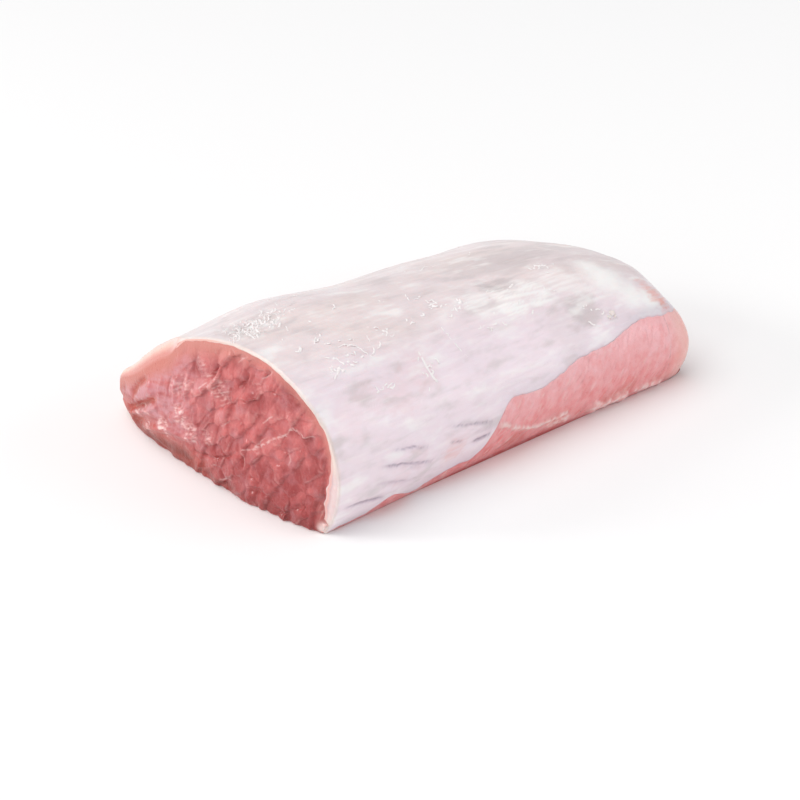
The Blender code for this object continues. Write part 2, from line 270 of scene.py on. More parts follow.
@dataclass(frozen=True)
class LoinForm:
    """Sizes of the loin, from the front corner where the flank meets the floor, and the curves they give."""

    corner_x: float = -0.1016
    corner_y: float = -0.0643
    length: float = 0.2060
    ridge_from_flank: float = 0.0380
    tip_from_flank: float = 0.1370
    front_height: float = 0.0650
    far_height: float = 0.0515
    height_fall_power: float = 1.25
    front_bulge: Pair = (0.0088, 0.0240)     # overhang of the flank, and its height
    far_bulge: Pair = (0.0055, 0.0160)
    flank_hollow: float = 0.0020
    tip_z: float = 0.0115
    tip_undercut: float = 0.0160
    slope_power: float = 0.75
    slope_blend: float = math.radians(32)
    back_swell: float = 0.0045
    back_swell_at: float = 0.0480
    back_swell_run: float = 0.0260
    back_swell_rest: float = 0.0010
    back_swell_span: Point = (0.3, 0.6, 0.95)
    face_bow: float = 0.0072
    face_bow_width: float = 0.1220
    face_bow_skew: float = 0.8
    face_bow_power: float = 2.5
    face_bow_left: float = 0.3
    far_bow: float = 0.0050
    far_bow_left: float = 0.4
    bow_fade_from: float = 0.2
    far_shoulder: Pair = (0.0150, 0.0550)    # drop, and the stretch of length it takes
    far_corner: Pair = (0.0025, 0.0100)
    shoulder_band: Pair = (0.30, 0.95)
    crisp_rim: float = 0.0006
    bare_rim: float = 0.0065
    bare_band: Pair = (0.080, 0.096)
    under_rim: float = 0.0008
    cap_thickness: float = 0.0016
    cap_corner_extra: float = 0.0048
    cap_corner_run: float = 0.0400
    cap_corner_band: Pair = (0.25, 0.80)
    cap_edge_share: float = 0.40
    cap_edge_taper: float = 0.0090
    cap_foot_z: float = 0.0044
    cap_trim: Pair = (0.0740, 0.0990)        # lengths between which the flank is trimmed bare
    cap_trim_rise: float = 0.0225
    cap_far_rise: float = 0.0115
    cap_back_z: float = 0.0270
    cap_back_front_z: float = 0.0535
    cap_back_run: float = 0.0240
    low_edge_waver: Pair = (0.0011, 0.0067)
    back_edge_waver: Pair = (0.0016, 0.0105)
    tip_rim_share: float = 0.45     # the rim's rounding at the thin edge's tip, as a share of that above it
    tip_rim_band: Pair = (0.114, 0.134)
    slit_z: float = 0.0076          # the slit in the thin edge, behind the front cut
    slit_reach: float = 0.0010
    slit_depth: float = 0.0030
    slit_run: Pair = (0.006, 0.030)
    cut_thin: float = 0.58          # share by which the fat is thinner at the front cut
    cut_uneven: float = 0.25
    cut_thin_run: float = 0.009
    cut_corner_band: Pair = (0.30, 0.62)     # heights over which the thick corner thins out
    foot_hang: float = 3.6 * MM     # how far the fat hangs below its trimmed edge near the front
    foot_hang_end: Pair = (0.074, 0.086)
    far_hang: float = 4.6 * MM      # and near the far end
    far_hang_start: Pair = (0.162, 0.192)
    hang_all: float = 0.7 * MM      # and everywhere
    hang_ragged: Pair = (0.8 * MM, 4.5 * MM)
    slivers: tuple[Pair, ...] = ((0.0316, 0.0095), (0.0690, 0.0170))    # middle and reach of bare meat
    sliver_rise: float = 2.6 * MM
    back_reach: float = 0.8 * MM    # how far it reaches beyond its edge on the other side
    back_ragged: Pair = (0.6 * MM, 5.0 * MM)
    gap: float = 0.0003
    swell_size: float = 0.0350
    swell_depth: float = 0.0006
    swell_calm_z: float = 0.0060
    steps: int = 300

    def ridge_height(self, share: float) -> float:
        """Height of the ridge at a share of the length."""
        return self.front_height - (self.front_height - self.far_height) * share**self.height_fall_power

    def slope_swell(self, length: float) -> float:
        """The soft swell of the long slope.

        Args:
            length: Distance from the front.

        Returns:
            How far the slope stands out.
        """
        near = self.back_swell * math.exp(-(((length - self.back_swell_at) / self.back_swell_run) ** 2))
        full, start, end = self.back_swell_span
        share = length / self.length
        rest = ease(0.0, full, share) * wane(start, end, share)
        return near + self.back_swell_rest * float(rest)

    def upper_arc(self, share: float) -> Array:
        """The section from the foot of the flank over the ridge to the thin edge.

        Args:
            share: Share of the loin's length.

        Returns:
            Points (y, z) from the front corner.
        """
        height = self.ridge_height(share)
        bulge, bulge_z = (near + (far - near) * share for near, far in zip(self.front_bulge, self.far_bulge))
        rise = np.linspace(0.0, 1.0, self.steps)
        foot = np.stack([-bulge + bulge * (1 - rise) ** 2, bulge_z * rise], axis=1)
        turn = np.linspace(0.0, math.pi / 2, self.steps)
        ridge, tip = self.ridge_from_flank, self.tip_from_flank
        flank_y = ridge - (ridge + bulge) * np.cos(turn)
        flank = np.stack([flank_y, bulge_z + (height - bulge_z) * np.sin(turn)], axis=1)
        power = 1.0 + self.slope_power * ease(0.0, self.slope_blend, turn)
        swell = self.slope_swell(share * self.length) * np.sin(2 * turn)
        slope_z = self.tip_z + (height - self.tip_z) * np.sin(turn) ** power + swell
        slope = np.stack([ridge + (tip - ridge) * np.cos(turn), slope_z], axis=1)[::-1]
        arc = np.concatenate([foot, flank[1:], slope[1:]])
        hollow = self.flank_hollow * math.sin(math.pi * share) ** 2
        arc[:, 0] += hollow * wane(0.0, ridge, arc[:, 0])
        return arc

    def lower_arc(self) -> Array:
        """The section from the foot of the flank along the floor to the thin edge, as points (y, z)."""
        turn = np.linspace(math.pi / 2, 0.0, self.steps)
        under_y = self.tip_from_flank - self.tip_undercut * (1 - np.cos(turn))
        return np.concatenate([[[0.0, 0.0]], np.stack([under_y, self.tip_z * (1 - np.sin(turn))], axis=1)])

    def front_x(self, y: Array, z: Array) -> Array:
        """The bowed front cut.

        Args:
            y: Across the loin, from the flank.
            z: Height.

        Returns:
            Where along the loin the cut lies.
        """
        across = (np.maximum(y, 0.0) / self.face_bow_width) ** self.face_bow_skew
        bow = 1 - np.abs(1 - 2 * across) ** self.face_bow_power
        fade = ease(self.bow_fade_from, 1.0, z / self.front_height)
        return -self.face_bow * bow * (1 - (1 - self.face_bow_left) * fade)

    def far_x(self, y: Array, z: Array) -> Array:
        """The bowed far cut.

        Args:
            y: Across the loin, from the flank.
            z: Height.

        Returns:
            Where along the loin the cut lies.
        """
        across = 2 * y / self.tip_from_flank - 1
        fade = ease(self.bow_fade_from, 1.0, z / self.front_height)
        return self.length + self.far_bow * (1 - across**2) * (1 - (1 - self.far_bow_left) * fade)

    def low_edge(self, length: float) -> float:
        """The fat's lower edge on the flank.

        Args:
            length: Distance from the front.

        Returns:
            The edge's height.
        """
        start, end = self.cap_trim
        depth, wave = self.low_edge_waver
        rise = (self.cap_trim_rise + depth * math.sin(length / wave)) * ease(start, end, length)
        climb = self.cap_far_rise * ease(end, self.length, length)
        return float(self.cap_foot_z + rise + climb)

    def back_edge(self, length: float) -> float:
        """The fat's edge on the side of the thin edge.

        Args:
            length: Distance from the front.

        Returns:
            The edge's height.
        """
        fall = float(ease(0.0, self.cap_back_run, length))
        depth, wave = self.back_edge_waver
        drop = (self.cap_back_z - self.cap_back_front_z + depth * math.sin(length / wave)) * fall
        return self.cap_back_front_z + drop

    def fat_hang(self, length: float) -> float:
        """How the fat hangs below its trimmed edge, with two slivers of meat left bare at the foot.

        Args:
            length: Distance from the front.

        Returns:
            How far it hangs.
        """
        hang = self.foot_hang * float(1 - ease(*self.foot_hang_end, length))
        hang += self.far_hang * float(ease(*self.far_hang_start, length))
        sliver = max(float(bell(*spot, length)) for spot in self.slivers)
        depth, size = self.hang_ragged
        ragged = depth * noise.noise(Vector((length / size, 1.0, 4.0)))
        return hang - (hang + self.sliver_rise) * sliver + self.hang_all + ragged

    def back_hang(self, length: float) -> float:
        """How far the fat reaches beyond its edge on the side of the thin edge."""
        depth, size = self.back_ragged
        return self.back_reach + depth * noise.noise(Vector((length / size, 3.0, 8.0)))

    def cap_depth(self, length: float, points: Array, inside: Array) -> Array:
        """Thickness of the fat.

        Args:
            length: Distance from the front.
            points: Section points.
            inside: How far in from the fat's own edges each point lies.

        Returns:
            The thickness at each point.
        """
        on_flank = wane(*self.cap_corner_band, points[:, 1] / self.front_height)
        on_flank = np.where(points[:, 0] < self.ridge_from_flank, on_flank, 0.0)
        full = self.cap_thickness + self.cap_corner_extra * on_flank * math.exp(-length / self.cap_corner_run)
        edge = self.cap_edge_share
        return full * (edge + (1 - edge) * ease(0.0, self.cap_edge_taper, inside))

    @staticmethod
    def rim_inset(reach: Array | float, depth: Array | float, distance: float) -> Array:
        """How far a rounded rim has dropped in at a distance from the end: a quarter of an ellipse."""
        inward = np.clip(1 - distance / reach, 0.0, 1.0)
        return depth * (1 - np.sqrt(1 - inward**2))

    def rounded_in(self, points: Array, normals: Array, length: float) -> Array:
        """Section points with the roundings of both ends and the soft lumps of the outside.

        Args:
            points: Section points.
            normals: Their normals.
            length: Distance of the section from the front.

        Returns:
            The moved points.
        """
        reach = self.crisp_rim + (self.bare_rim - self.crisp_rim) * ease(*self.bare_band, points[:, 0])
        reach *= 1 - (1 - self.tip_rim_share) * ease(*self.tip_rim_band, points[:, 0])
        high = ease(*self.shoulder_band, points[:, 1] / self.far_height)
        pairs = zip(self.far_corner, self.far_shoulder)
        depth, run = (corner + (shoulder - corner) * high for corner, shoulder in pairs)
        inset = self.rim_inset(reach, reach, length) + self.rim_inset(run, depth, self.length - length)
        lumps = [noise.noise(Vector((length, y, z)) / self.swell_size) for y, z in points]
        swell = self.swell_depth * np.array(lumps) * ease(0.0, self.swell_calm_z, points[:, 1])
        return points + normals * (swell - inset)[:, None]

    def placed(self, points: Array, length: float) -> Array:
        """Takes a section to its place between the bowed cuts.

        Args:
            points: Section points.
            length: Distance from the front.

        Returns:
            Points of the whole loin.
        """
        front = self.front_x(points[:, 0], points[:, 1])
        far = self.far_x(points[:, 0], points[:, 1])
        x = front + (far - front) * (length / self.length)
        return np.stack([self.corner_x + x, self.corner_y + points[:, 0], points[:, 1]], axis=1)


class Section:
    """One cross-section of the loin."""

    def __init__(self, form: LoinForm, length: float) -> None:
        """Works out the outline.

        Args:
            form: The loin's sizes.
            length: Distance from the front cut.
        """
        self.form = form
        self.length = length
        self.arc = form.upper_arc(length / form.length)
        self.along = lengths_along(self.arc)
        self.normals = normals_of(self.arc)
        top = int(np.argmax(self.arc[:, 1]))
        self.low = float(np.interp(form.low_edge(length), self.arc[: top + 1, 1], self.along[: top + 1]))
        self.back = float(np.interp(-form.back_edge(length), -self.arc[top:, 1], self.along[top:]))
        self.end = float(self.along[-1])

    def skin(self, where: Array) -> tuple[Array, Array]:
        """Outer points at places along the upper arc, and their normals."""
        points = walk(self.arc, self.along, where)
        normals = walk(self.normals, self.along, where)
        return self.form.rounded_in(points, normals, self.length), normals

    def depth(self, where: Array) -> Array:
        """Thickness of the fat: thinner and uneven next to the front cut.

        Args:
            where: Places along the upper arc.

        Returns:
            The thickness at each place.
        """
        form = self.form
        points = walk(self.arc, self.along, where)
        full = form.cap_depth(self.length, points, np.minimum(where - self.low, self.back - where))
        near = wane(0.0, form.cut_thin_run, self.length)
        low = wane(*form.cut_corner_band, points[:, 1] / form.front_height)
        corner = np.where(points[:, 0] < form.ridge_from_flank, low, 0)
        uneven = form.cut_uneven * UNEVEN.of(where / (4.5 * MM), self.length / (9 * MM), 0.5)
        return full * (1 - near * (1 - corner) * form.cut_thin + near * uneven)

    def under(self, count: int) -> Array:
        """The outline along the floor.

        Args:
            count: How many points.

        Returns:
            Points (y, z) from the foot of the flank to the thin edge.
        """
        form = self.form
        arc = form.lower_arc()
        along = lengths_along(arc)
        points = walk(arc, along, np.linspace(0.0, along[-1], count))
        inward = normals_of(points)
        depth, run = form.far_corner
        at_tip = ease(*form.tip_rim_band, points[:, 0])
        reach = form.under_rim + (form.tip_rim_share * form.bare_rim - form.under_rim) * at_tip
        inset = form.rim_inset(reach, reach, self.length)
        inset += form.rim_inset(run, depth, form.length - self.length)
        slit = bell(form.slit_z, form.slit_reach, points[:, 1]) * at_tip
        slit *= wane(*form.slit_run, self.length)
        return points + inward * (inset + form.slit_depth * slit)[:, None]


@dataclass(frozen=True)
class PhotoCamera:
    """The camera of the photograph, with a square picture."""

    spot: Point = (-0.64534, -0.69868, 0.48273)
    aim: Point = (-0.00321, 0.00003, 0.0)
    lens: float = 112.418
    sensor: float = 36.0
    side: int = 800

    def ray(self, pixel: Pixel) -> tuple[Vector, Vector]:
        """Start and direction of the sight line through a pixel.

        Args:
            pixel: Column and row in the 800 by 800 picture.

        Returns:
            The camera's place and the unit direction.
        """
        ahead = (Vector(self.aim) - Vector(self.spot)).normalized()
        right = ahead.cross(Vector((0.0, 0.0, 1.0))).normalized()
        above = right.cross(ahead)
        scale = self.sensor / self.lens / self.side
        column, row = ((value - self.side / 2) * scale for value in pixel)
        return Vector(self.spot), (ahead + right * column - above * row).normalized()

    def place(self) -> Piece:
        """Adds this camera to the scene as the scene's camera.

        Returns:
            The camera.
        """
        data = bpy.data.cameras.new("photo_camera")
        data.lens, data.sensor_width = self.lens, self.sensor
        data.dof.use_dof = False
        data.clip_start, data.clip_end = 0.05, 40.0
        camera = added("photo_camera", data)
        camera.location = self.spot
        face_along(camera, Vector(self.aim) - Vector(self.spot))
        bpy.context.scene.camera = camera
        return camera


class Finder:
    """Finds where the sight line through a pixel meets the meat."""

    def __init__(self, camera: PhotoCamera, tree: BVHTree) -> None:
        """Keeps the camera and the surface that a sight line may meet."""
        self.camera = camera
        self.tree = tree

    @classmethod
    def of_piece(cls, camera: PhotoCamera, piece: Piece) -> "Finder":
        """A finder for a finished mesh."""
        places = [vertex.co.copy() for vertex in piece.data.vertices]
        faces = [tuple(face.vertices) for face in piece.data.polygons]
        return cls(camera, BVHTree.FromPolygons(places, faces))

    @classmethod
    def of_grid(cls, camera: PhotoCamera, grid: Array) -> "Finder":
        """A finder for one surface that is still a grid of points, rows by columns by 3."""
        count = np.arange(grid.shape[0] * grid.shape[1]).reshape(grid.shape[:2])
        quads = np.stack([count[:-1, :-1], count[1:, :-1], count[1:, 1:], count[:-1, 1:]], axis=-1)
        return cls(camera, BVHTree.FromPolygons(grid.reshape(-1, 3).tolist(), quads.reshape(-1, 4).tolist()))

    def meet(self, pixel: Pixel) -> tuple[Vector, Vector] | None:
        """Looks along the sight line of a pixel.

        Args:
            pixel: The pixel.

        Returns:
            Nearest point and normal of the meat, or None beside it.
        """
        start, ahead = self.camera.ray(pixel)
        spot, normal, _, _ = self.tree.ray_cast(start, ahead)
        if spot is None:
            return None
        return spot, normal if normal.dot(ahead) < 0 else -normal

    def trace(self, pixels: tuple[Pixel, ...], step: float = 2.0) -> tuple[Array, Array]:
        """A line on the meat.

        Args:
            pixels: The line in the photograph.
            step: Distance between the points that are looked up, in pixels.

        Returns:
            Points on the meat and the normals there.
        """
        line = np.array(pixels, float)
        along = lengths_along(line)
        count = max(2, int(along[-1] / step) + 1)
        found = [self.meet(tuple(spot)) for spot in walk(line, along, np.linspace(0.0, along[-1], count))]
        found = [pair for pair in found if pair is not None]
        return np.array([spot[:] for spot, _ in found]), np.array([normal[:] for _, normal in found])


def off_line(points: Array, line: Array, reach: float) -> tuple[Array, Array]:
    """Distance of points from a polyline.

    Args:
        points: Points, N by 3.
        line: The polyline, M by 3.
        reach: Points farther off than this get this distance.

    Returns:
        The distance of each point, and the share of the line where it is nearest.
    """
    best, share = np.full(len(points), reach), np.zeros(len(points))
    near = np.all((points > line.min(0) - reach) & (points < line.max(0) + reach), axis=1)
    spots = points[near]
    if not len(spots) or len(line) < 2:
        return best, share
    close, where = np.full(len(spots), reach), np.zeros(len(spots))
    along = lengths_along(line)
    for index, (start, end) in enumerate(zip(line, line[1:])):
        run = end - start
        part = np.clip((spots - start) @ run / max(float(run @ run), 1e-12), 0.0, 1.0)
        gap = np.linalg.norm(spots - start - part[:, None] * run, axis=1)
        nearer = gap < close
        close = np.where(nearer, gap, close)
        where = np.where(nearer, (along[index] + part * np.linalg.norm(run)) / along[-1], where)
    best[near], share[near] = close, where
    return best, share


def stray(points: Array, size: float, apart: float, grain: Grain) -> Array:
    """Three noise values for each point, read at places that lie apart in the noise."""
    return np.stack([grain.at(points / size + apart * turn) for turn in range(3)], axis=-1)


@dataclass(frozen=True)
class Stroke:
    """A crease, ridge or coloured line of the photograph, given by its pixels. Sizes in millimetres."""

    pixels: tuple[Pixel, ...]
    width: float            # to each side
    height: float = 0.0     # how far it stands out, or sinks in below 0
    strength: float = 1.0
    fade: float = 0.15      # share of its length over which each end dies away
    waver: float = 0.5      # how uneven its sides are
    wobble: float = 0.35    # how far it strays from the straight pieces between its pixels
    broken: float = 0.0     # how much of it is missing in places


@dataclass(frozen=True)
class Blot:
    """A patch of another colour that the photograph shows, given by the pixel in its middle."""

    middle: Pixel
    reach: float            # in millimetres
    strength: float = 1.0
    ragged: float = 0.5
    along: float = 1.0      # below 1 its border is drawn out along the loin
    core: float = 0.55      # share of its reach that has its full strength


def crease(*pixels: Pixel, width: float = 0.6, depth: float = 0.6, strength: float = 0.30) -> Stroke:
    """A crease in the front cut, with its width, depth and strength."""
    return Stroke(pixels, width, -depth, strength, 0.3, 0.2)


class Canvas:
    """A smooth surface that strokes and patches of the photograph are laid on."""

    def __init__(self, camera: PhotoCamera, points: Array, grain: Grain) -> None:
        """Looks up what every stroke needs.

        Args:
            camera: The camera.
            points: The surface, rows by columns by 3.
            grain: Noise for uneven borders.
        """
        self.finder = Finder.of_grid(camera, points)
        self.grain = grain
        self.points = points
        self.flat = points.reshape(-1, 3)
        self.astray = stray(self.flat, 2.4 * MM, 11.0, grain)
        self.missing = ease(-0.1, 0.4, grain.at(self.flat / (2.0 * MM) + 5.0))

    def stroke(self, stroke: Stroke) -> Array:
        """How much of a stroke each point has.

        Args:
            stroke: The stroke.

        Returns:
            0 off the stroke to its strength on it.
        """
        width = stroke.width * MM
        line, _ = self.finder.trace(stroke.pixels)
        gap, share = off_line(self.flat + stroke.wobble * MM * self.astray, line, 4 * width)
        gap = gap * (1 + stroke.waver * self.grain.at(self.flat / (1.6 * width)))
        ends = ease(0.0, stroke.fade, share) * ease(0.0, stroke.fade, 1 - share)
        there = bell(0.0, width, gap) * ends * (1 - stroke.broken * self.missing) * stroke.strength
        return there.reshape(self.points.shape[:-1])

    def patch(self, patch: Blot) -> Array:
        """How much of a patch each point has.

        Args:
            patch: The patch.

        Returns:
            0 off the patch to its strength in it.
        """
        found = self.finder.meet(patch.middle)
        if found is None:
            return np.zeros(self.points.shape[:-1])
        reach = patch.reach * MM
        drawn_out = self.points / (0.5 * reach) * np.array([patch.along, 1.0, 1.0])
        gap = np.linalg.norm(self.points - np.array(found[0][:]), axis=-1) / reach
        gap = gap + patch.ragged * self.grain.layered(drawn_out, 4, 0.6)
        return patch.strength * wane(patch.core, 1.15, gap)

    def drawn(self, strokes: tuple[Stroke, ...]) -> tuple[Array, Array]:
        """Lays strokes on the surface.

        Args:
            strokes: The strokes.

        Returns:
            How far they make each point stand out, and how much of a stroke each point has.
        """
        height, cover = np.zeros(self.points.shape[:-1]), np.zeros(self.points.shape[:-1])
        for stroke in strokes:
            there = self.stroke(stroke)
            height += stroke.height * MM * there / stroke.strength
            cover = np.maximum(cover, there)
        return height, cover

    def patched(self, patches: tuple[Blot, ...]) -> Array:
        """How much of any of some patches each point has."""
        return np.max([self.patch(patch) for patch in patches], axis=0)


class Mark(Enum):
    """What a mesh says of each of its points, for its material."""

    # painted shade: darker colour in creases, bundle borders and the slit
    GROOVE_SHADE = "groove"
    # pale membranes and fat strands, and painted highlights on wet patches, raised bundle edges and flank
    # ridges
    FILM_AND_GLINT = "film"
    # white fat lines, and painted highlights on the wet patches of the cut
    MARBLING_AND_GLINT = "marbling"
    # random lightness of the meat, with painted light and shade: lighter up the flank, darker low on the cut,
    # under it and beside creases
    TONE_AND_SHADING = "tone"
    RIM = "rim"
    # painted shade of the undercut foot, the underside and the slit
    DEEP_SHADE = "deep"
    # painted sheen on the left of the front cut, and pale lilac blotches elsewhere
    PALE_AND_SHEEN = "pale"
    SIDE = "side"
    # orange on the lower flank and the rim, and painted shade in folds, the slit and the undercut foot
    ORANGE = "orange"
    # white fat, and painted light on the raised lobes and crumples of the fat
    WHITE = "white"
    # grey translucent fat, and painted shade in a hollow and among the crumples
    GREY = "grey"
    BLUSH = "blush"
    # violet at the fat's cut and edges, and painted shade along its wrinkles
    VIOLET = "violet"
    LILAC = "lilac"
    CREAM = "cream"
    PEACH = "peach"
    SPECK = "speck"


Marks = dict[Mark, Array | float]


def at_least(marks: Marks, kind: Mark, share: Array) -> None:
    """Raises a mark to a share where it is lower."""
    marks[kind] = np.maximum(marks[kind], share)


class Shell:
    """Collects the points, faces and marks of one mesh."""

    def __init__(self, kinds: tuple[Mark, ...]) -> None:
        """Starts with nothing.

        Args:
            kinds: The marks that the mesh carries.
        """
        self.kinds = kinds
        self.points: list[Array] = []
        self.marks: dict[Mark, list[Array]] = {kind: [] for kind in kinds}
        self.faces: list[list[int]] = []
        self.count = 0

    def add(self, points: Array, marks: Marks | None = None) -> Array:
        """Adds points.

        Args:
            points: Points in any shape that ends with 3.
            marks: Their marks, in the same shape without the 3. What is left out is 0.

        Returns:
            The numbers of the points, in the same shape without the 3.
        """
        shape = points.shape[:-1]
        flat = points.reshape(-1, 3)
        self.points.append(flat)
        for kind in self.kinds:
            value = (marks or {}).get(kind, 0.0)
            self.marks[kind].append(np.broadcast_to(value, shape).reshape(-1))
        numbers = np.arange(self.count, self.count + len(flat)).reshape(shape)
        self.count += len(flat)
        return numbers

    def weave(self, rows: Array) -> None:
        """Adds the faces between neighbouring rows.

        Args:
            rows: Numbers of the points. Where two corners are one point the face is a triangle.
        """
        quads = np.stack([rows[:-1, :-1], rows[1:, :-1], rows[1:, 1:], rows[:-1, 1:]], axis=-1).reshape(-1, 4)
        for quad in quads.tolist():
            corners = list(dict.fromkeys(quad))
            if len(corners) > 2:
                self.faces.append(corners)

    def tube(self, grid: Array, marks: Marks) -> None:
        """Adds a closed skin round a grid of points whose rows are rings.

        Args:
            grid: The points.
            marks: Their marks.
        """
        numbers = self.add(grid, marks)
        self.weave(np.concatenate([numbers, numbers[:, :1]], axis=1))
        for ring in (numbers[0], numbers[-1]):
            self.faces.append(ring.tolist())

    def build(self, name: str, material: Finish, sharp: float = 78.0) -> Piece:
        """Makes the mesh object.

        Args:
            name: The piece's name.
            material: Its material.
            sharp: Edges that turn by more than this, in degrees, stay sharp.

        Returns:
            The object, inside the box of the solids.
        """
        low, high = np.array(CAD_BOX[0][:]), np.array(CAD_BOX[1][:])
        places = np.clip(np.concatenate(self.points), low, high)
        mesh = bpy.data.meshes.new(name)
        mesh.from_pydata(places.tolist(), [], self.faces)
        build = bmesh.new()
        build.from_mesh(mesh)
        bmesh.ops.recalc_face_normals(build, faces=build.faces)
        build.to_mesh(mesh)
        build.free()
        for kind in self.kinds:
            layer = mesh.attributes.new(kind.value, "FLOAT", "POINT")
            layer.data.foreach_set("value", np.concatenate(self.marks[kind]).astype(np.float32))
        mesh.shade_smooth()
        mesh.set_sharp_from_angle(angle=math.radians(sharp))
        mesh.materials.append(material)
        return added(name, mesh)


class Recipe:
    """Lays out the nodes of one material."""

    def __init__(self, name: str) -> None:
        """Starts a material.

        Args:
            name: The material's name.
        """
        self.material = bpy.data.materials.new(name)
        self.material.use_nodes = True
        self.tree = self.material.node_tree
        self.shader = next(node for node in self.tree.nodes if node.type == "BSDF_PRINCIPLED")
        self.places = self.add("TexCoord", {}).outputs["Object"]

    def join(self, source: object, target: Socket) -> None:
        """Feeds an input.

        Args:
            source: A socket, or a plain number or colour.
            target: The input.
        """
        if isinstance(source, Socket):
            self.tree.links.new(source, target)
        else:
            target.default_value = (*source, 1.0) if target.type == "RGBA" else source

    def add(self, kind: str, inputs: dict[str | int, object], **settings: object) -> bpy.types.Node:
        """Adds a node.

        Args:
            kind: Which node, as Blender names it.
            inputs: A number, colour or socket for each input.
            settings: The node's settings.

        Returns:
            The node.
        """
        node = self.tree.nodes.new("ShaderNode" + kind)
        for name, value in settings.items():
            setattr(node, name, value)
        for place, value in inputs.items():
            self.join(value, node.inputs[place])
        return node

    def mark(self, kind: Mark) -> Socket:
        """The socket that gives a mark of the mesh."""
        return self.add("Attribute", {}, attribute_name=kind.value).outputs["Fac"]

    def math(self, kind: str, first: object, second: object) -> Socket:
        """Arithmetic on two numbers or sockets, with the operation as Blender names it."""
        return self.add("Math", {0: first, 1: second}, operation=kind).outputs[0]

    def layers(self, base: object, *layers: tuple[object, object]) -> Socket:
        """Lays colours over one another.

        Args:
            base: The lowest colour.
            layers: Each next colour, and the mark or socket of its share.

        Returns:
            The colour's socket.
        """
        for colour, share in layers:
            inputs = {0: self.mark(share) if isinstance(share, Mark) else share, 6: base, 7: colour}
            base = self.add("Mix", inputs, data_type="RGBA", clamp_factor=True).outputs[2]
        return base

    def noise(self, size: float, detail: float = 2.0, stretch: float = 1.0) -> Socket:
        """Procedural noise.

        Args:
            size: Size of a lump in metres.
            detail: How many finer layers.
            stretch: How many times longer lumps are along the loin.

        Returns:
            The socket of a value around 0.5.
        """
        scale = {"Scale": (stretch, 1.0, 1.0), "Vector": self.places}
        places = self.add("Mapping", scale, vector_type="TEXTURE").outputs["Vector"]
        return self.add("TexNoise", {"Scale": 1.0 / size, "Detail": detail, "Vector": places}).outputs["Fac"]

    def span(self, value: object, low: float, high: float, start: float = 0.0, end: float = 1.0) -> Socket:
        """Maps low to high of a value to start to end, clamped."""
        ranges = {"From Min": low, "From Max": high, "To Min": start, "To Max": end}
        return self.add("MapRange", {"Value": value, **ranges}).outputs["Result"]

    def bump(self, height: object, depth: float, under: object = None) -> Socket:
        """Relief as deep as given where the height is 1, over another bump if there is one."""
        below = {} if under is None else {"Normal": under}
        return self.add("Bump", {"Distance": depth, "Height": height, **below}).outputs["Normal"]

    def set(self, **values: object) -> None:
        """Sets or links inputs of the shader, with _ for each space in their names."""
        for name, value in values.items():
            self.join(value, self.shader.inputs[name.replace("_", " ")])


LEAN_MARKS = (
    Mark.GROOVE_SHADE, Mark.FILM_AND_GLINT, Mark.MARBLING_AND_GLINT, Mark.TONE_AND_SHADING, Mark.RIM, Mark.DEEP_SHADE, Mark.PALE_AND_SHEEN, Mark.SIDE, Mark.ORANGE,
    Mark.CREAM,
)
FAT_MARKS = (Mark.WHITE, Mark.GREY, Mark.BLUSH, Mark.LILAC, Mark.VIOLET, Mark.CREAM, Mark.PEACH, Mark.SPECK)


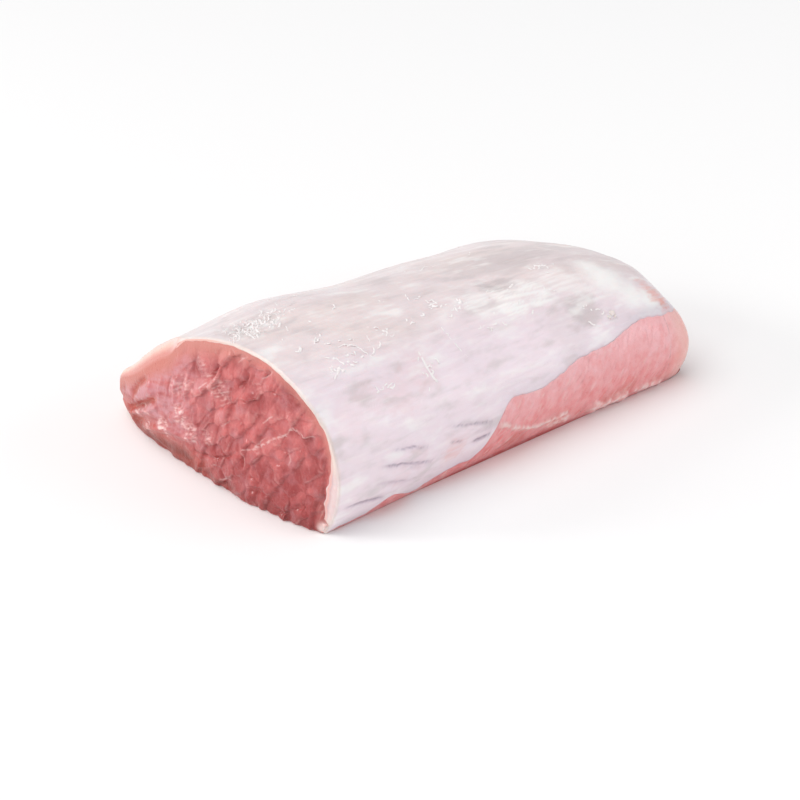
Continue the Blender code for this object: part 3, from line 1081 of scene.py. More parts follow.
@dataclass(frozen=True)
class LeanFinish:
    """Moist raw pork muscle."""

    rose: Colour = tint(206, 108, 107)
    light: Colour = tint(226, 147, 143)
    dark: Colour = tint(160, 58, 59)
    side: Colour = tint(236, 143, 143)
    side_light: Colour = tint(248, 188, 192)
    # colour of the painted shade in creases and bundle borders
    fissure: Colour = tint(168, 66, 62)
    # pale membranes and strands, also used for painted highlights
    film: Colour = tint(244, 194, 191)
    # pale lilac for the painted sheen and the blotches
    pale: Colour = tint(207, 145, 152)
    marbling: Colour = tint(250, 226, 222)
    rim: Colour = tint(212, 136, 124)
    # colour of the painted shade under the loin and in its slit
    deep: Colour = tint(108, 40, 30)
    orange: Colour = tint(196, 84, 62)
    cream: Colour = tint(246, 206, 190)
    roughness: float = 0.36
    wetness: float = 0.38

    def material(self) -> Finish:
        """Lays out the nodes.

        Returns:
            The material.
        """
        mix = Recipe("lean_meat")
        cloud, speck, fine = mix.noise(0.011, 3.0), mix.noise(0.0011, 3.0), mix.noise(0.00045, 2.0)
        tone, film = mix.mark(Mark.TONE_AND_SHADING), mix.mark(Mark.FILM_AND_GLINT)
        patchy = mix.span(mix.noise(0.004, 3.0), 0.35, 0.7, -0.15, 0.35)
        lit = mix.math("ADD", patchy, mix.span(tone, -0.6, 1.0))
        # Painted light and shade in these layers: dark by tone low on the cut and beside creases, side light
        # up the flank, pale sheen, deep shade, fissure shade, and film and marbling glints.
        base = mix.layers(
            self.dark,
            (self.rose, mix.span(cloud, 0.34, 0.58)),
            (self.light, mix.span(tone, 0.1, 1.0, 0.0, 0.8)),
            (self.dark, mix.span(tone, -0.1, -1.3, 0.0, 0.95)),
            (mix.layers(self.side, (self.side_light, lit)), Mark.SIDE),
            (self.pale, Mark.PALE_AND_SHEEN),
            (self.rim, Mark.RIM),
            (self.cream, Mark.CREAM),
            (self.orange, Mark.ORANGE),
            (self.deep, Mark.DEEP_SHADE),
            (self.fissure, Mark.GROOVE_SHADE),
            (self.film, mix.math("MULTIPLY", film, mix.span(speck, 0.3, 0.62, 0.55, 1.0))),
            (self.light, mix.span(speck, 0.55, 0.78, 0.0, 0.22)),
            (self.dark, mix.span(fine, 0.45, 0.25, 0.0, 0.12)),
            (self.marbling, Mark.MARBLING_AND_GLINT),
        )
        mix.set(
            Base_Color=base,
            Roughness=mix.span(speck, 0.3, 0.7, self.roughness - 0.10, self.roughness + 0.12),
            Normal=mix.bump(fine, 0.10 * MM, mix.bump(speck, 0.22 * MM)),
            Subsurface_Weight=0.22,
            Subsurface_Radius=(1.0, 0.32, 0.26),
            Subsurface_Scale=0.0024,
            Specular_IOR_Level=0.3,
            Coat_Weight=self.wetness,
            Coat_Roughness=0.11,
        )
        return mix.material


@dataclass(frozen=True)
class FatFinish:
    """Moist off-white fat and the thin skin on it."""

    base: Colour = tint(236, 221, 224)
    warm: Colour = tint(236, 220, 219)
    white: Colour = tint(255, 251, 250)
    grey: Colour = tint(212, 200, 202)
    blush: Colour = tint(238, 204, 208)
    violet: Colour = tint(146, 120, 148)
    lilac: Colour = tint(247, 231, 241)
    cream: Colour = tint(234, 215, 204)
    speck: Colour = tint(176, 162, 158)
    peach: Colour = tint(238, 168, 156)
    roughness: float = 0.40
    wetness: float = 0.35
    softness: float = 0.25

    def material(self, name: str = "fat") -> Finish:
        """The node material.

        Args:
            name: The material's name.

        Returns:
            The material.
        """
        mix = Recipe(name)
        cloud, streak, speck = mix.noise(0.022, 3.0, 1.9), mix.noise(0.0022, 3.0, 7.0), mix.noise(0.0008, 2.0)
        base = mix.layers(
            self.base,
            (self.warm, mix.span(cloud, 0.35, 0.65)),
            (self.lilac, Mark.LILAC),
            (self.grey, Mark.GREY),
            (self.blush, Mark.BLUSH),
            (self.white, mix.span(streak, 0.55, 0.8, 0.0, 0.35)),
            (self.grey, mix.span(streak, 0.42, 0.22, 0.0, 0.30)),
            (self.white, Mark.WHITE),
            (self.cream, Mark.CREAM),
            (self.peach, Mark.PEACH),
            (self.violet, Mark.VIOLET),
            (self.speck, Mark.SPECK),
        )
        mix.set(
            Base_Color=base,
            Roughness=mix.span(speck, 0.3, 0.7, self.roughness - 0.08, self.roughness + 0.12),
            Normal=mix.bump(speck, 0.09 * MM, mix.bump(streak, 0.30 * MM)),
            Subsurface_Weight=self.softness,
            Subsurface_Radius=(1.0, 0.62, 0.55),
            Subsurface_Scale=0.0016,
            Specular_IOR_Level=0.5,
            Coat_Weight=self.wetness,
            Coat_Roughness=0.22,
        )
        return mix.material


@dataclass(frozen=True)
class FloorFinish:
    """A plain pale studio floor."""

    base: Colour = tint(250, 250, 250)
    other: Colour = tint(246, 246, 247)
    roughness: float = 0.65

    def material(self) -> Finish:
        """Lays out the nodes.

        Returns:
            The material.
        """
        mix = Recipe("pale_floor")
        cloud = mix.noise(0.4, 2.0)
        mix.set(
            Base_Color=mix.layers(self.base, (self.other, cloud)),
            Roughness=mix.span(cloud, 0.3, 0.7, self.roughness - 0.05, self.roughness + 0.05),
            Normal=mix.bump(mix.noise(0.002), 0.02 * MM),
            Specular_IOR_Level=0.2,
        )
        return mix.material


def outside_marks(points: Array, grain: Grain) -> tuple[Array, Marks]:
    """Fibres on the muscle's outside, with painted light and shade in their colours.

    Args:
        points: Points of the outside.
        grain: Noise.

    Returns:
        How far each point stands out, and its marks.
    """
    x, y, z = points[..., 0], points[..., 1], points[..., 2]
    lean = np.radians(48.0) + np.radians(16.0) * ease(0.02, 0.10, x)
    along = x * np.cos(lean) + z * np.sin(lean)
    across = z * np.cos(lean) - x * np.sin(lean)
    strands = grain.of(along / (4.6 * MM), across / (1.5 * MM), y / (12 * MM))
    threads = grain.of(along / (3 * MM) + 3.0, across / (0.62 * MM), y / (8 * MM))
    cells = BundleField(4.6 * MM, 2.6, lean, 23).cells(x, z)
    dome = ease(0.0, 1.0 * MM, cells.border)
    fissure = np.exp(-((cells.border / (0.30 * MM)) ** 2)) * ease(-0.2, 0.5, grain.at(points / (9 * MM)))
    low = wane(0.012, 0.034, z) * (y < 0)
    wet = np.maximum(0.20 + 0.80 * wane(0.030, 0.075, x), 0.8 * low)
    height = MM * (0.10 + 0.30 * wet) * strands + 0.10 * MM * wet * threads
    height += dome * 0.34 * MM * (cells.lots[..., 0] - 0.5) - 0.16 * MM * fissure
    film = 0.80 * ease(0.34, 0.72, strands) + 0.30 * ease(0.35, 0.8, threads)
    # Painted light and shade: grooves darker, most at the foot; film streaks also stand in for glints on wet
    # ridges; tone lighter higher up and darker near the floor.
    marks = {
        Mark.GROOVE_SHADE: 0.14 * fissure * (1 - 0.5 * low) + 0.10 * ease(0.35, 0.9, -strands) * (1 + 1.4 * low),
        Mark.FILM_AND_GLINT: wet * (1 + 0.2 * low) * film,
        Mark.TONE_AND_SHADING: (cells.lots[..., 1] - 0.5) * 0.5 + 1.3 * ease(0.006, 0.036, z) - 0.35,
        Mark.CREAM: 0.45 * ease(0.086, 0.102, x) * (y < 0),
        Mark.SIDE: np.ones(points.shape[:-1]),
    }
    return height, marks


def under_shade(points: Array) -> Marks:
    """Marks of the underside, with painted shade: darker where it lies on the floor than at its edges."""
    down = wane(1.0 * MM, 6.0 * MM, points[..., 2])
    return {Mark.DEEP_SHADE: 0.3 * down, Mark.SIDE: 1 - 0.5 * down, Mark.TONE_AND_SHADING: -0.5 * np.ones_like(down)}


@dataclass
class MuscleOutline:
    """How the muscle's outline is divided: bare flank, bed under the fat, bare thin edge."""

    form: LoinForm
    flank: int
    bed: int
    thin_edge: int
    grain: Grain
    tuck: float = 0.42 * MM     # how far the muscle sinks in where the fat hangs over it

    def upper(self, length: float, calm: float = 1.0) -> tuple[Array, Marks]:
        """The upper outline at a length from the front.

        Args:
            length: Distance from the front.
            calm: Share of the fibre relief that shows.

        Returns:
            Points of the whole loin and their marks.
        """
        cut = Section(self.form, length)
        gap, seat = self.form.gap, 0.02 * MM
        flank = np.linspace(0.0, cut.low - seat, self.flank + 1)
        covered = np.linspace(cut.low - seat, cut.back + seat, self.bed + 1)
        edge = np.linspace(cut.back + seat, cut.end, self.thin_edge + 1)
        bare_flank, flank_normals = cut.skin(flank)
        over, bed_normals = cut.skin(covered)
        bare_edge, edge_normals = cut.skin(edge)
        bare_from, bare_behind = self.form.fat_hang(length), self.form.back_hang(length)
        under = ease(-0.3 * MM, 1.6 * MM, covered - cut.low + bare_from)
        sunk = over - bed_normals * ((cut.depth(covered) + gap) * under)[:, None]
        rows = np.concatenate([bare_flank, sunk, bare_edge])
        normals = np.concatenate([flank_normals, bed_normals, edge_normals])
        height, marks = outside_marks(self.form.placed(rows, length), self.grain)
        beside_bed = np.zeros(len(covered))
        beside = np.concatenate([cut.low - bare_from - flank, beside_bed, edge - cut.back - bare_behind])
        tucked = self.tuck * wane(-0.6 * MM, 0.3 * MM, beside)
        beside = np.maximum(beside, 0.0)
        shows = ease(0.0, 3.0 * MM, beside) * ease(0.2 * MM, 2.5 * MM, rows[:, 1])
        height = (height * shows - 0.10 * MM * ease(0.0, 2.0 * MM, beside)) * calm
        height -= tucked
        height[self.flank + 1 : self.flank + 1 + len(covered)] = 0.0
        marks[Mark.MARBLING_AND_GLINT] = np.zeros(len(rows))
        marks[Mark.MARBLING_AND_GLINT][-len(edge) :] = 0.55 * wane(0.0, 9.0 * MM, edge - cut.back)
        return self.form.placed(rows + normals * height[:, None], length), marks

    def lower(self, length: float, upper: Array) -> Array:
        """The outline along the floor.

        Args:
            length: Distance from the front.
            upper: The upper outline, which gives the first and last point.

        Returns:
            Points of the whole loin.
        """
        count = len(upper)
        points = self.form.placed(Section(self.form, length).under(count), length)
        points[0], points[-1] = upper[0], upper[-1]
        return points


class End(Enum):
    """The two cuts across the loin."""

    FRONT = "front_cut"
    FAR = "far_cut"


@dataclass
class CutEnd:
    """A cut across the muscle, with the stretch of its outside just behind the cut."""

    form: LoinForm
    end: End
    camera: PhotoCamera
    reach: float = 0.014
    rings: int = 18
    rows: int = 168
    flank: int = 16
    bed: int = 230
    thin_edge: int = 186
    grain_turn: float = math.radians(131)
    edge_turn: float = math.radians(97)
    edge_band: Pair = (0.078, 0.094)     # across the loin, where the bundles turn upright
    lying_turn: float = math.radians(160)
    lying_band: Pair = (0.016, 0.026)    # heights between which the lying bundles end
    rim_fade: Pair = (0.005, 0.0135)     # how far behind the cut the pale rim fades out
    calm: Array | float = 1.0       # share of the bundles' relief that shows, found from the photograph

    lobe: Blot = Blot((143, 396), 12.0, 0.90, 0.15)      # the smooth lobe at the thin edge, without bundles
    pad: Blot = Blot((145, 393), 6.5, 1.0, 0.15)         # the pale pad in it
    # creases sunk into the cut; their dark colour is painted shade
    creases: tuple[Stroke, ...] = (
        Stroke(((188, 449), (200, 454), (217, 458), (230, 456), (241, 449)), 0.7, -0.9, 0.45, 0.25, 0.2),
        crease((208, 386), (214, 375), (219, 363), width=0.7, depth=1.0, strength=0.40),
        crease((194, 378), (193, 366), (196, 357), depth=0.5),
        crease((180, 402), (179, 388), (184, 374), depth=0.7),
        crease((168, 400), (168, 386), (172, 373)),
        crease((192, 401), (192, 386), width=0.5, depth=0.5, strength=0.25),
        crease((236, 388), (244, 383), (250, 372), width=0.7, depth=0.9, strength=0.40),
        crease((262, 379), (269, 374), (274, 367), depth=0.8, strength=0.35),
        crease((272, 396), (278, 387), (283, 378)),
        crease((247, 388), (253, 378), (257, 366)),
        crease((230, 378), (225, 370), (228, 361)),
        crease((244, 470), (243, 459), (241, 452), depth=0.8, strength=0.35),
        crease((260, 487), (255, 480), (249, 474), width=0.8, depth=0.8, strength=0.35),
        crease((200, 428), (208, 421), (214, 413)),
        crease((248, 492), (255, 491), (262, 495), width=1.3, depth=1.0, strength=0.40),
        crease((294, 505), (300, 508), (306, 509), width=1.3, depth=0.9, strength=0.40),
    )
    # folds at the thin edge; their orange colour is painted shade
    folds: tuple[Stroke, ...] = (
        Stroke(((124, 408), (132, 407), (142, 404), (150, 401), (158, 398)), 1.5, -1.7, 0.95, 0.15, 0.1),
        Stroke(((150, 376), (140, 383), (132.5, 393), (132, 404)), 1.5, -1.1, 0.9, 0.25, 0.1),
        Stroke(((128, 417), (136, 420), (145, 421)), 1.4, -0.9, 0.9, 0.2, 0.1),
    )
    # painted shade: the slit and pocket under the lobe, and the dark band along the undercut foot
    brown_shade: tuple[Stroke, ...] = (
        Stroke(((130, 407), (142, 405), (152, 401)), 0.8, 0.0, 0.42, 0.3, 0.1),
        Stroke(((146, 379), (138, 386), (132.5, 394), (132, 403)), 0.7, 0.0, 0.18, 0.3, 0.1),
        Stroke(((133, 421), (139, 423), (145, 424)), 0.9, -0.3, 0.3, 0.3, 0.1),
        Stroke(((140, 431), (152, 439), (164, 446), (180, 454), (194, 463)), 3.2, -0.3, 0.75, 0.15, 0.4),
        Stroke(((194, 463), (206, 474), (222, 484), (240, 493)), 2.0, -0.2, 0.5, 0.2, 0.5),
    )
    ridges: tuple[Stroke, ...] = (
        Stroke(((139, 396), (146, 393), (154, 389)), 4.2, 1.7, waver=0.1),
        Stroke(((127, 413), (137, 412), (147, 411), (158, 407)), 1.1, 1.0, fade=0.05, waver=0.1),
        Stroke(
            ((140, 425), (151, 428), (162, 428), (171, 431), (181, 436), (193, 438), (205, 441)), 1.5, 1.2,
        ),
        Stroke(((168, 420), (178, 416), (189, 412)), 1.8, 0.9),
        Stroke(((174, 406), (174, 388), (178, 374)), 1.3, 0.9, waver=0.2),
        Stroke(((186, 404), (186, 388), (189, 374)), 1.5, 1.0, waver=0.2),
        Stroke(((201, 373), (200, 363), (204, 355)), 1.9, 0.6, waver=0.2),
        Stroke(((160, 400), (159, 388), (163, 376)), 1.2, 0.5, waver=0.2),
        Stroke(((199, 391), (208, 384), (216, 379)), 1.5, 0.8),
        Stroke(((212, 396), (222, 391), (232, 388)), 1.4, 0.6),
    )
    marbling: tuple[Stroke, ...] = (
        Stroke(
            (
                (241, 450), (253, 450), (260, 447), (270, 440), (284, 436),
                (289, 430), (299, 432), (306, 437), (316, 437),
            ),
            0.30, 0.093, 0.62, 0.05, 0.9, 0.9, 0.6,
        ),
        Stroke(((241, 447), (243, 453), (246, 467)), 0.32, 0.045, 0.45, broken=0.5),
        Stroke(((253, 449), (262, 440), (268, 437)), 0.25, 0.04, 0.40, broken=0.6),
        Stroke(((262, 424), (268, 419), (272, 416)), 0.26, 0.1, 0.50, broken=0.5),
        Stroke(((236, 364), (242, 359), (248, 357)), 0.30, 0.1, 0.50, broken=0.5),
        Stroke(((261, 380), (270, 375), (274, 369)), 0.30, 0.135, 0.45, broken=0.5),
        Stroke(((212, 393), (222, 393), (231, 391)), 0.26, 0.06, 0.40, broken=0.5),
        Stroke(((197, 389), (205, 384), (208, 382)), 0.30, 0.15, 0.50, broken=0.5),
        Stroke(((219, 479), (226, 479), (231, 481)), 0.26, 0.04, 0.40, broken=0.5),
        Stroke(((286, 452), (290, 460), (287, 467)), 0.36, 0.03, 0.30, broken=0.6),
        Stroke(((220, 427), (226, 424), (231, 420)), 0.30, 0.03, 0.30, broken=0.5),
    )
    # rough wet patches whose pale and white colour is a painted highlight
    wet_glint_patches: tuple[Blot, ...] = (
        Blot((180, 415), 5.0), Blot((164, 427), 4.8), Blot((190, 433), 5.0, 0.9), Blot((149, 427), 3.6, 0.9),
        Blot((208, 437), 4.0, 0.6), Blot((212, 384), 5.5, 0.6), Blot((186, 386), 6.5, 0.5),
        Blot((202, 362), 3.5, 0.5), Blot((222, 391), 5.0, 0.5), Blot((138, 411), 3.2, 0.9),
        Blot((146, 411), 3.0, 0.8), Blot((174, 386), 5.0, 0.4),
    )

    @staticmethod
    def seen_across(y: Array) -> Array:
        """Distance across the loin, less where the cut curves away, so that the bundles keep their look."""
        bend, squeeze = 0.094, 0.62
        return np.minimum(y, bend) + squeeze * np.maximum(y - bend, 0.0)

    def bundles(self, y: Array, z: Array, turn: float, seed: int) -> tuple[Array, Marks]:
        """Muscle bundles that run one way: rounded cells at two sizes, each tilted its own way.

        Args:
            y: Across the loin, from the flank.
            z: Height.
            turn: Direction that the bundles are drawn out in.
            seed: Which pattern.

        Returns:
            How far each point stands out, and its marks.
        """
        grain = Grain(seed)
        levels = [np.stack([y, z, y * 0 + level], axis=-1) for level in (0.0, 0.04)]
        sway = [1.3 * MM * grain.layered(level / (5 * MM), 3) for level in levels]
        large = BundleField(6.2 * MM, 1.65, turn, seed + 1, 0.3).cells(y + sway[0], z + sway[1])
        small = BundleField(2.4 * MM, 1.4, turn, seed + 2, 0.4).cells(y + sway[0], z + sway[1])
        tilts = [np.sum((field.lots[..., 1:] - 0.5) * field.offset, axis=-1) for field in (large, small)]
        reaches = ((large, 1.9 * MM), (small, 1.0 * MM))
        pillows = [1 - (1 - np.clip(field.border / reach, 0, 1)) ** 2 for field, reach in reaches]
        opens = ease(-0.3, 0.4, grain.of(y / (8 * MM), z / (8 * MM), 0.5))
        rise = large.offset[..., 1]
        tucked, lifted = ease(0.15, -0.35, rise), ease(0.0, 0.35, rise)
        groove = np.exp(-((large.border / (0.50 * MM)) ** 2)) * opens * (0.2 + 0.8 * tucked)
        stands = 0.42 + 0.45 * (large.lots[..., 0] - 0.5) + 2.7 * tilts[0] + 1.2 * rise
        small_stands = 0.08 + 0.14 * (small.lots[..., 0] - 0.5) + 0.55 * tilts[1]
        height = MM * (pillows[0] * stands + pillows[1] * small_stands - 0.20 * groove)
        sinewy = ease(0.42, 0.72, grain.of(y / (5 * MM), z / (5 * MM), 3.3))
        blotch = grain.layered(np.stack([y, z, y * 0], axis=-1) / (7 * MM), 2)
        # The groove colour is painted shade in the crease, the film on the lifted edge a painted highlight,
        # and the tone darker beside the tucked crease as painted shade.
        marks = {
            Mark.GROOVE_SHADE: 0.34 * groove,
            Mark.FILM_AND_GLINT: bell(0.62 * MM, 0.30 * MM, large.border) * (0.08 * sinewy + 0.32 * lifted * opens),
            Mark.TONE_AND_SHADING: np.clip(
                (large.lots[..., 0] - 0.5) * 0.8 + (small.lots[..., 1] - 0.5) * 0.4 + 0.8 * blotch
                - 0.5 * tucked * np.exp(-((large.border / (1.5 * MM)) ** 2)), -1, 1,
            ),
        }
        return height, marks

    def face_relief(self, points: Array, y: Array, z: Array) -> tuple[Array, Marks]:
        """Relief of the cut: slanting bundles, upright ones toward the thin edge, soft swells and crumbs.

        Args:
            points: Points of the smooth cut.
            y: Across the loin, from the flank.
            z: Height.

        Returns:
            How far each point stands out, and its marks.
        """
        seed = 9.0 if self.end is End.FRONT else 20.0
        grain = Grain(31 + int(seed))
        swell = [noise.noise(Vector((a / 0.030, b / 0.030, seed))) for a, b in zip(y.ravel(), z.ravel())]
        seen = self.seen_across(y)
        share = ease(*self.edge_band, y)
        lying = ease(*self.edge_band, y + 4 * MM) * wane(*self.lying_band, z)
        height, marks = np.zeros(y.shape), {}
        for turn, number, part, depth in (
            (self.grain_turn, 40, (1 - share) * (1 - lying), 1.0),
            (self.edge_turn, 70, share * (1 - lying), 0.6),
            (self.lying_turn, 90, lying, 0.7),
        ):
            relief, found = self.bundles(seen, z, turn, number + int(seed))
            height += depth * part * relief
            for kind, value in found.items():
                marks[kind] = marks.get(kind, 0.0) + part * value
        height += 1.0 * MM * np.array(swell).reshape(y.shape) + 0.5 * MM * grain.of(y / 0.011, z / 0.011, 6.0)
        height += 0.06 * MM * grain.layered(points / (1.6 * MM), 2)
        return height - 0.35 * MM, marks

    def front_features(self, points: Array, y: Array, z: Array, marks: Marks) -> Array:
        """What the front cut has of its own, read from the photograph, with painted shade, sheen and glints.

        Args:
            points: Points of the smooth cut.
            y: Across the loin, from the flank.
            z: Height.
            marks: The marks so far, which this adds to.

        Returns:
            How far each point stands out beyond the common relief.
        """
        grain = Grain(77)
        canvas = Canvas(self.camera, points, grain)
        left = ease(0.056, 0.094, y + 5 * MM * grain.of(y / (9 * MM), z / (9 * MM), 1.0))
        lobe, pad = canvas.patch(self.lobe), canvas.patch(self.pad)
        seen = np.stack([self.seen_across(y), z, y * 0], axis=-1)
        across = seen[..., 0]
        lying = np.stack([0.36 * z - 0.93 * across, 2.6 * (0.36 * across + 0.93 * z), y * 0], axis=-1)
        self.calm = (1 - lobe) * (1 - 0.45 * left)
        marks[Mark.GROOVE_SHADE] = marks[Mark.GROOVE_SHADE] * (1 - lobe) * (1 - 0.5 * left)
        tables = (self.creases, self.folds, self.brown_shade, self.ridges, self.marbling)
        heights, covers = zip(*(canvas.drawn(table) for table in tables))
        # Creases, folds and brown strokes carry painted shade; the marbling strokes are fat.
        creased, tucked, shaded, _, marks[Mark.MARBLING_AND_GLINT] = covers
        height = sum(heights)
        at_least(marks, Mark.GROOVE_SHADE, creased)
        # Orange at the undercut foot of the thin edge's side: painted shade.
        left_foot = ease(0.052, 0.080, y) * wane(0.004, 0.017, z)
        marks[Mark.ORANGE] = np.maximum.reduce((tucked, 0.35 * shaded, 0.60 * left_foot))
        # The wet patches get rough relief; their film and marbling colour is a painted highlight.
        wet = canvas.patched(self.wet_glint_patches)
        rough = grain.layered(lying / (3.6 * MM), 3)
        height += 0.50 * MM * wet * rough
        at_least(marks, Mark.FILM_AND_GLINT, wet * ease(-0.30, 0.40, rough) * (1 - tucked))
        marks[Mark.FILM_AND_GLINT] = marks[Mark.FILM_AND_GLINT] * (1 - 0.8 * shaded) * (1 - 0.5 * left_foot)
        at_least(marks, Mark.MARBLING_AND_GLINT, 0.6 * wet * ease(0.05, 0.5, rough))
        # The pale mottle on the left of the cut is painted sheen of the wet meat.
        mottle = ease(-0.6, 0.45, grain.layered(lying / (6.0 * MM), 3))
        blotch = ease(0.0, 0.6, grain.layered(seen / (6.0 * MM) + 4.0, 2))
        marks[Mark.PALE_AND_SHEEN] = 0.85 * left * mottle * (1 - 0.6 * ease(0.043, 0.056, z))
        marks[Mark.PALE_AND_SHEEN] += 0.30 * blotch * (1 - left)
        marks[Mark.PALE_AND_SHEEN] = np.maximum(marks[Mark.PALE_AND_SHEEN], 0.75 * pad) * (1 - 0.8 * left_foot)
        ragged = grain.of(y / (9.0 * MM), z / (9.0 * MM), 5.0)
        under = wane(0.0, 12.0 * MM, z) * ease(0.008, 0.030, y)
        height -= under * (1.0 * MM + 1.1 * MM * ragged)
        # Painted shade of the undercut foot, darkest near the floor.
        shade = wane(0.5 * MM, 9.0 * MM, z) * (0.35 + 0.4 * ease(0.060, 0.085, y))
        marks[Mark.DEEP_SHADE] = np.maximum(0.85 * shade, shaded)
        # The lower face is painted darker as shade toward the floor.
        low = wane(0.004, 0.036, z)
        marks[Mark.TONE_AND_SHADING] = np.clip(marks[Mark.TONE_AND_SHADING] - 1.2 * low * (1 - left), -1.3, 1)
        self.front_corner(y, z, marks, grain)
        return height

    @staticmethod
    def front_corner(y: Array, z: Array, marks: Marks, grain: Grain) -> None:
        """Colours the cut's lower corner at the flank, where the fat fans out into the meat.

        Args:
            y: Across the loin, from the flank.
            z: Height.
            marks: The marks so far, which this adds to.
            grain: Noise.
        """
        tip = wane(2.0 * MM, 7.0 * MM, z) * wane(0.0, 4.0 * MM, y)
        streaks = ease(0.0, 0.7, grain.of((y + 0.35 * z) / (0.9 * MM), z / (7.0 * MM), 2.0))
        peach = wane(6.0 * MM, 25.0 * MM, z) * wane(-3.0 * MM, 5.0 * MM, y)
        at_least(marks, Mark.MARBLING_AND_GLINT, tip)
        at_least(marks, Mark.FILM_AND_GLINT, peach * streaks * 0.8)
        marks[Mark.RIM] = 0.5 * peach

    def face(self, upper: Array, lower: Array) -> tuple[Array, Marks]:
        """The cut itself, as rows of points from the upper outline down to the lower one.

        Args:
            upper: Upper outline of the first ring, as (y, z).
            lower: Lower outline.

        Returns:
            The points and their marks.
        """
        front = self.end is End.FRONT
        share = np.linspace(0.0, 1.0, self.rows + 1)[:, None, None]
        flat = upper * (1 - share) + lower * share
        y, z = flat[..., 0], flat[..., 1]
        base = (self.form.front_x if front else self.form.far_x)(y, z)
        smooth = np.stack([self.form.corner_x + base, self.form.corner_y + y, z], axis=-1)
        height, marks = self.face_relief(smooth, y, z)
        if front:
            own = self.front_features(smooth, y, z, marks)
        else:
            own = -wane(2.0 * MM, 9.0 * MM, z) * 1.2 * MM
            marks[Mark.PALE_AND_SHEEN] = 0.3 * ease(0.06, 0.10, y)
        from_rim = np.linalg.norm(flat - upper, axis=-1)
        beside_cap = np.zeros(len(upper), bool)
        beside_cap[self.flank : self.flank + self.bed + 3] = True
        smooth_band = (4.0 + 13.0 * ease(0.048, 0.080, y)) * MM * ease(0.010, 0.026, z) + 0.5 * MM
        rim_calm = ease(0.0, smooth_band, from_rim)
        calm = np.where(beside_cap, ease(0.0, 3.0 * MM, from_rim) * rim_calm, 0.15 + 0.85 * rim_calm)
        outward = -1.0 if front else 1.0
        own_calm = np.where(beside_cap, ease(0.0, 3.0 * MM, from_rim), 1.0)
        smooth[..., 0] += outward * (height * calm * self.calm + own * own_calm)
        for kind in (Mark.TONE_AND_SHADING, Mark.GROOVE_SHADE, Mark.FILM_AND_GLINT):
            marks[kind] = marks[kind] * (0.25 + 0.75 * rim_calm)
        if front:
            bare = ease(0.056, 0.084, y) * ease(0.006, 0.016, z) * wane(0.0, 7.5 * MM, from_rim)
            at_least(marks, Mark.RIM, 0.9 * bare)
            at_least(marks, Mark.ORANGE, 0.30 * bare * ease(0.080, 0.100, y))
            marks[Mark.PALE_AND_SHEEN] = marks[Mark.PALE_AND_SHEEN] * (1 - bare)
            toward_edge = ease(0.025, 0.060, y)
            arch = wane(0.0, (5.5 + 5.0 * toward_edge) * MM, from_rim) * ease(0.012, 0.040, z)
            at_least(marks, Mark.RIM, (0.62 + 0.28 * toward_edge) * arch)
        return smooth, marks

    def build(self, material: Finish) -> Piece:
        """Builds the closed mesh of this end.

        Args:
            material: The lean's material.

        Returns:
            The piece.
        """
        form, front = self.form, self.end is End.FRONT
        outline = MuscleOutline(form, self.flank, self.bed, self.thin_edge, Grain(5))
        steps = self.reach * np.linspace(0.0, 1.0, self.rings) ** 1.7
        shell = Shell(LEAN_MARKS)
        tops, unders = [], []
        shift = np.zeros((2, self.flank + self.bed + self.thin_edge + 3))
        for step in steps:
            length = step if front else form.length - step
            upper, marks = outline.upper(length, float(ease(0.0, 3.0 * MM, step)))
            lower = outline.lower(length, upper)
            left = 1 - step / self.reach
            upper[:, 0] += shift[0] * left
            lower[:, 0] += shift[1] * left
            if step == 0.0:
                corner = np.array([form.corner_y, 0.0])
                grid, face_marks = self.face(upper[:, 1:] - corner, lower[:, 1:] - corner)
                shift = np.stack([grid[0, :, 0] - upper[:, 0], grid[-1, :, 0] - lower[:, 0]])
                numbers = shell.add(grid, face_marks)
                numbers[:, 0], numbers[:, -1] = numbers[0, 0], numbers[0, -1]
                shell.weave(numbers)
                tops.append(numbers[0])
                unders.append(numbers[-1])
                continue
            under_marks = under_shade(lower)
            if front:
                self.round_rim(upper, step, marks)
                self.round_tip(lower, step, under_marks)
            top = shell.add(upper, marks)
            under = shell.add(lower, under_marks)
            under[0], under[-1] = top[0], top[-1]
            tops.append(top)
            unders.append(under)
        shell.weave(np.array(tops))
        shell.weave(np.array(unders))
        shell.weave(np.array([tops[-1], unders[-1]]))
        return shell.build(self.end.value, material)

    def round_rim(self, upper: Array, step: float, marks: Marks) -> None:
        """Colours the rounded rim on the thin edge: salmon next to the cut, paler farther out.

        Args:
            upper: Points of one ring above.
            step: Distance from the cut.
            marks: The ring's marks, which this adds to.
        """
        y = upper[:, 1] - self.form.corner_y
        bare = ease(0.070, 0.090, y) * ease(0.006, 0.014, upper[:, 2])
        near = wane(0.5 * MM, 4.5 * MM, step)
        bare = bare * wane(*self.rim_fade, step)
        form = self.form
        reach = form.bare_rim * (1 - (1 - form.tip_rim_share) * ease(*form.tip_rim_band, y))
        turned = np.sqrt(1 - (1 - np.minimum(step / reach, 1.0)) ** 2)
        marks[Mark.RIM] = 0.9 * bare
        marks[Mark.CREAM] = 0.95 * bare * ease(0.28, 0.85, turned)
        marks[Mark.FILM_AND_GLINT] = np.maximum(marks[Mark.FILM_AND_GLINT] * (1 - bare * near), bare * (1 - near) * 0.3)
        marks[Mark.GROOVE_SHADE] = marks[Mark.GROOVE_SHADE] * (1 - bare)
        corner = wane(2.0 * MM, 7.0 * MM, upper[:, 2]) * wane(0.0, 5.0 * MM, step) * (y < 0.02)
        outer = 0.35 * bare * float(ease(0.0, 5.0 * MM, step))
        marks[Mark.MARBLING_AND_GLINT] = np.max([marks[Mark.MARBLING_AND_GLINT], corner, outer], axis=0)

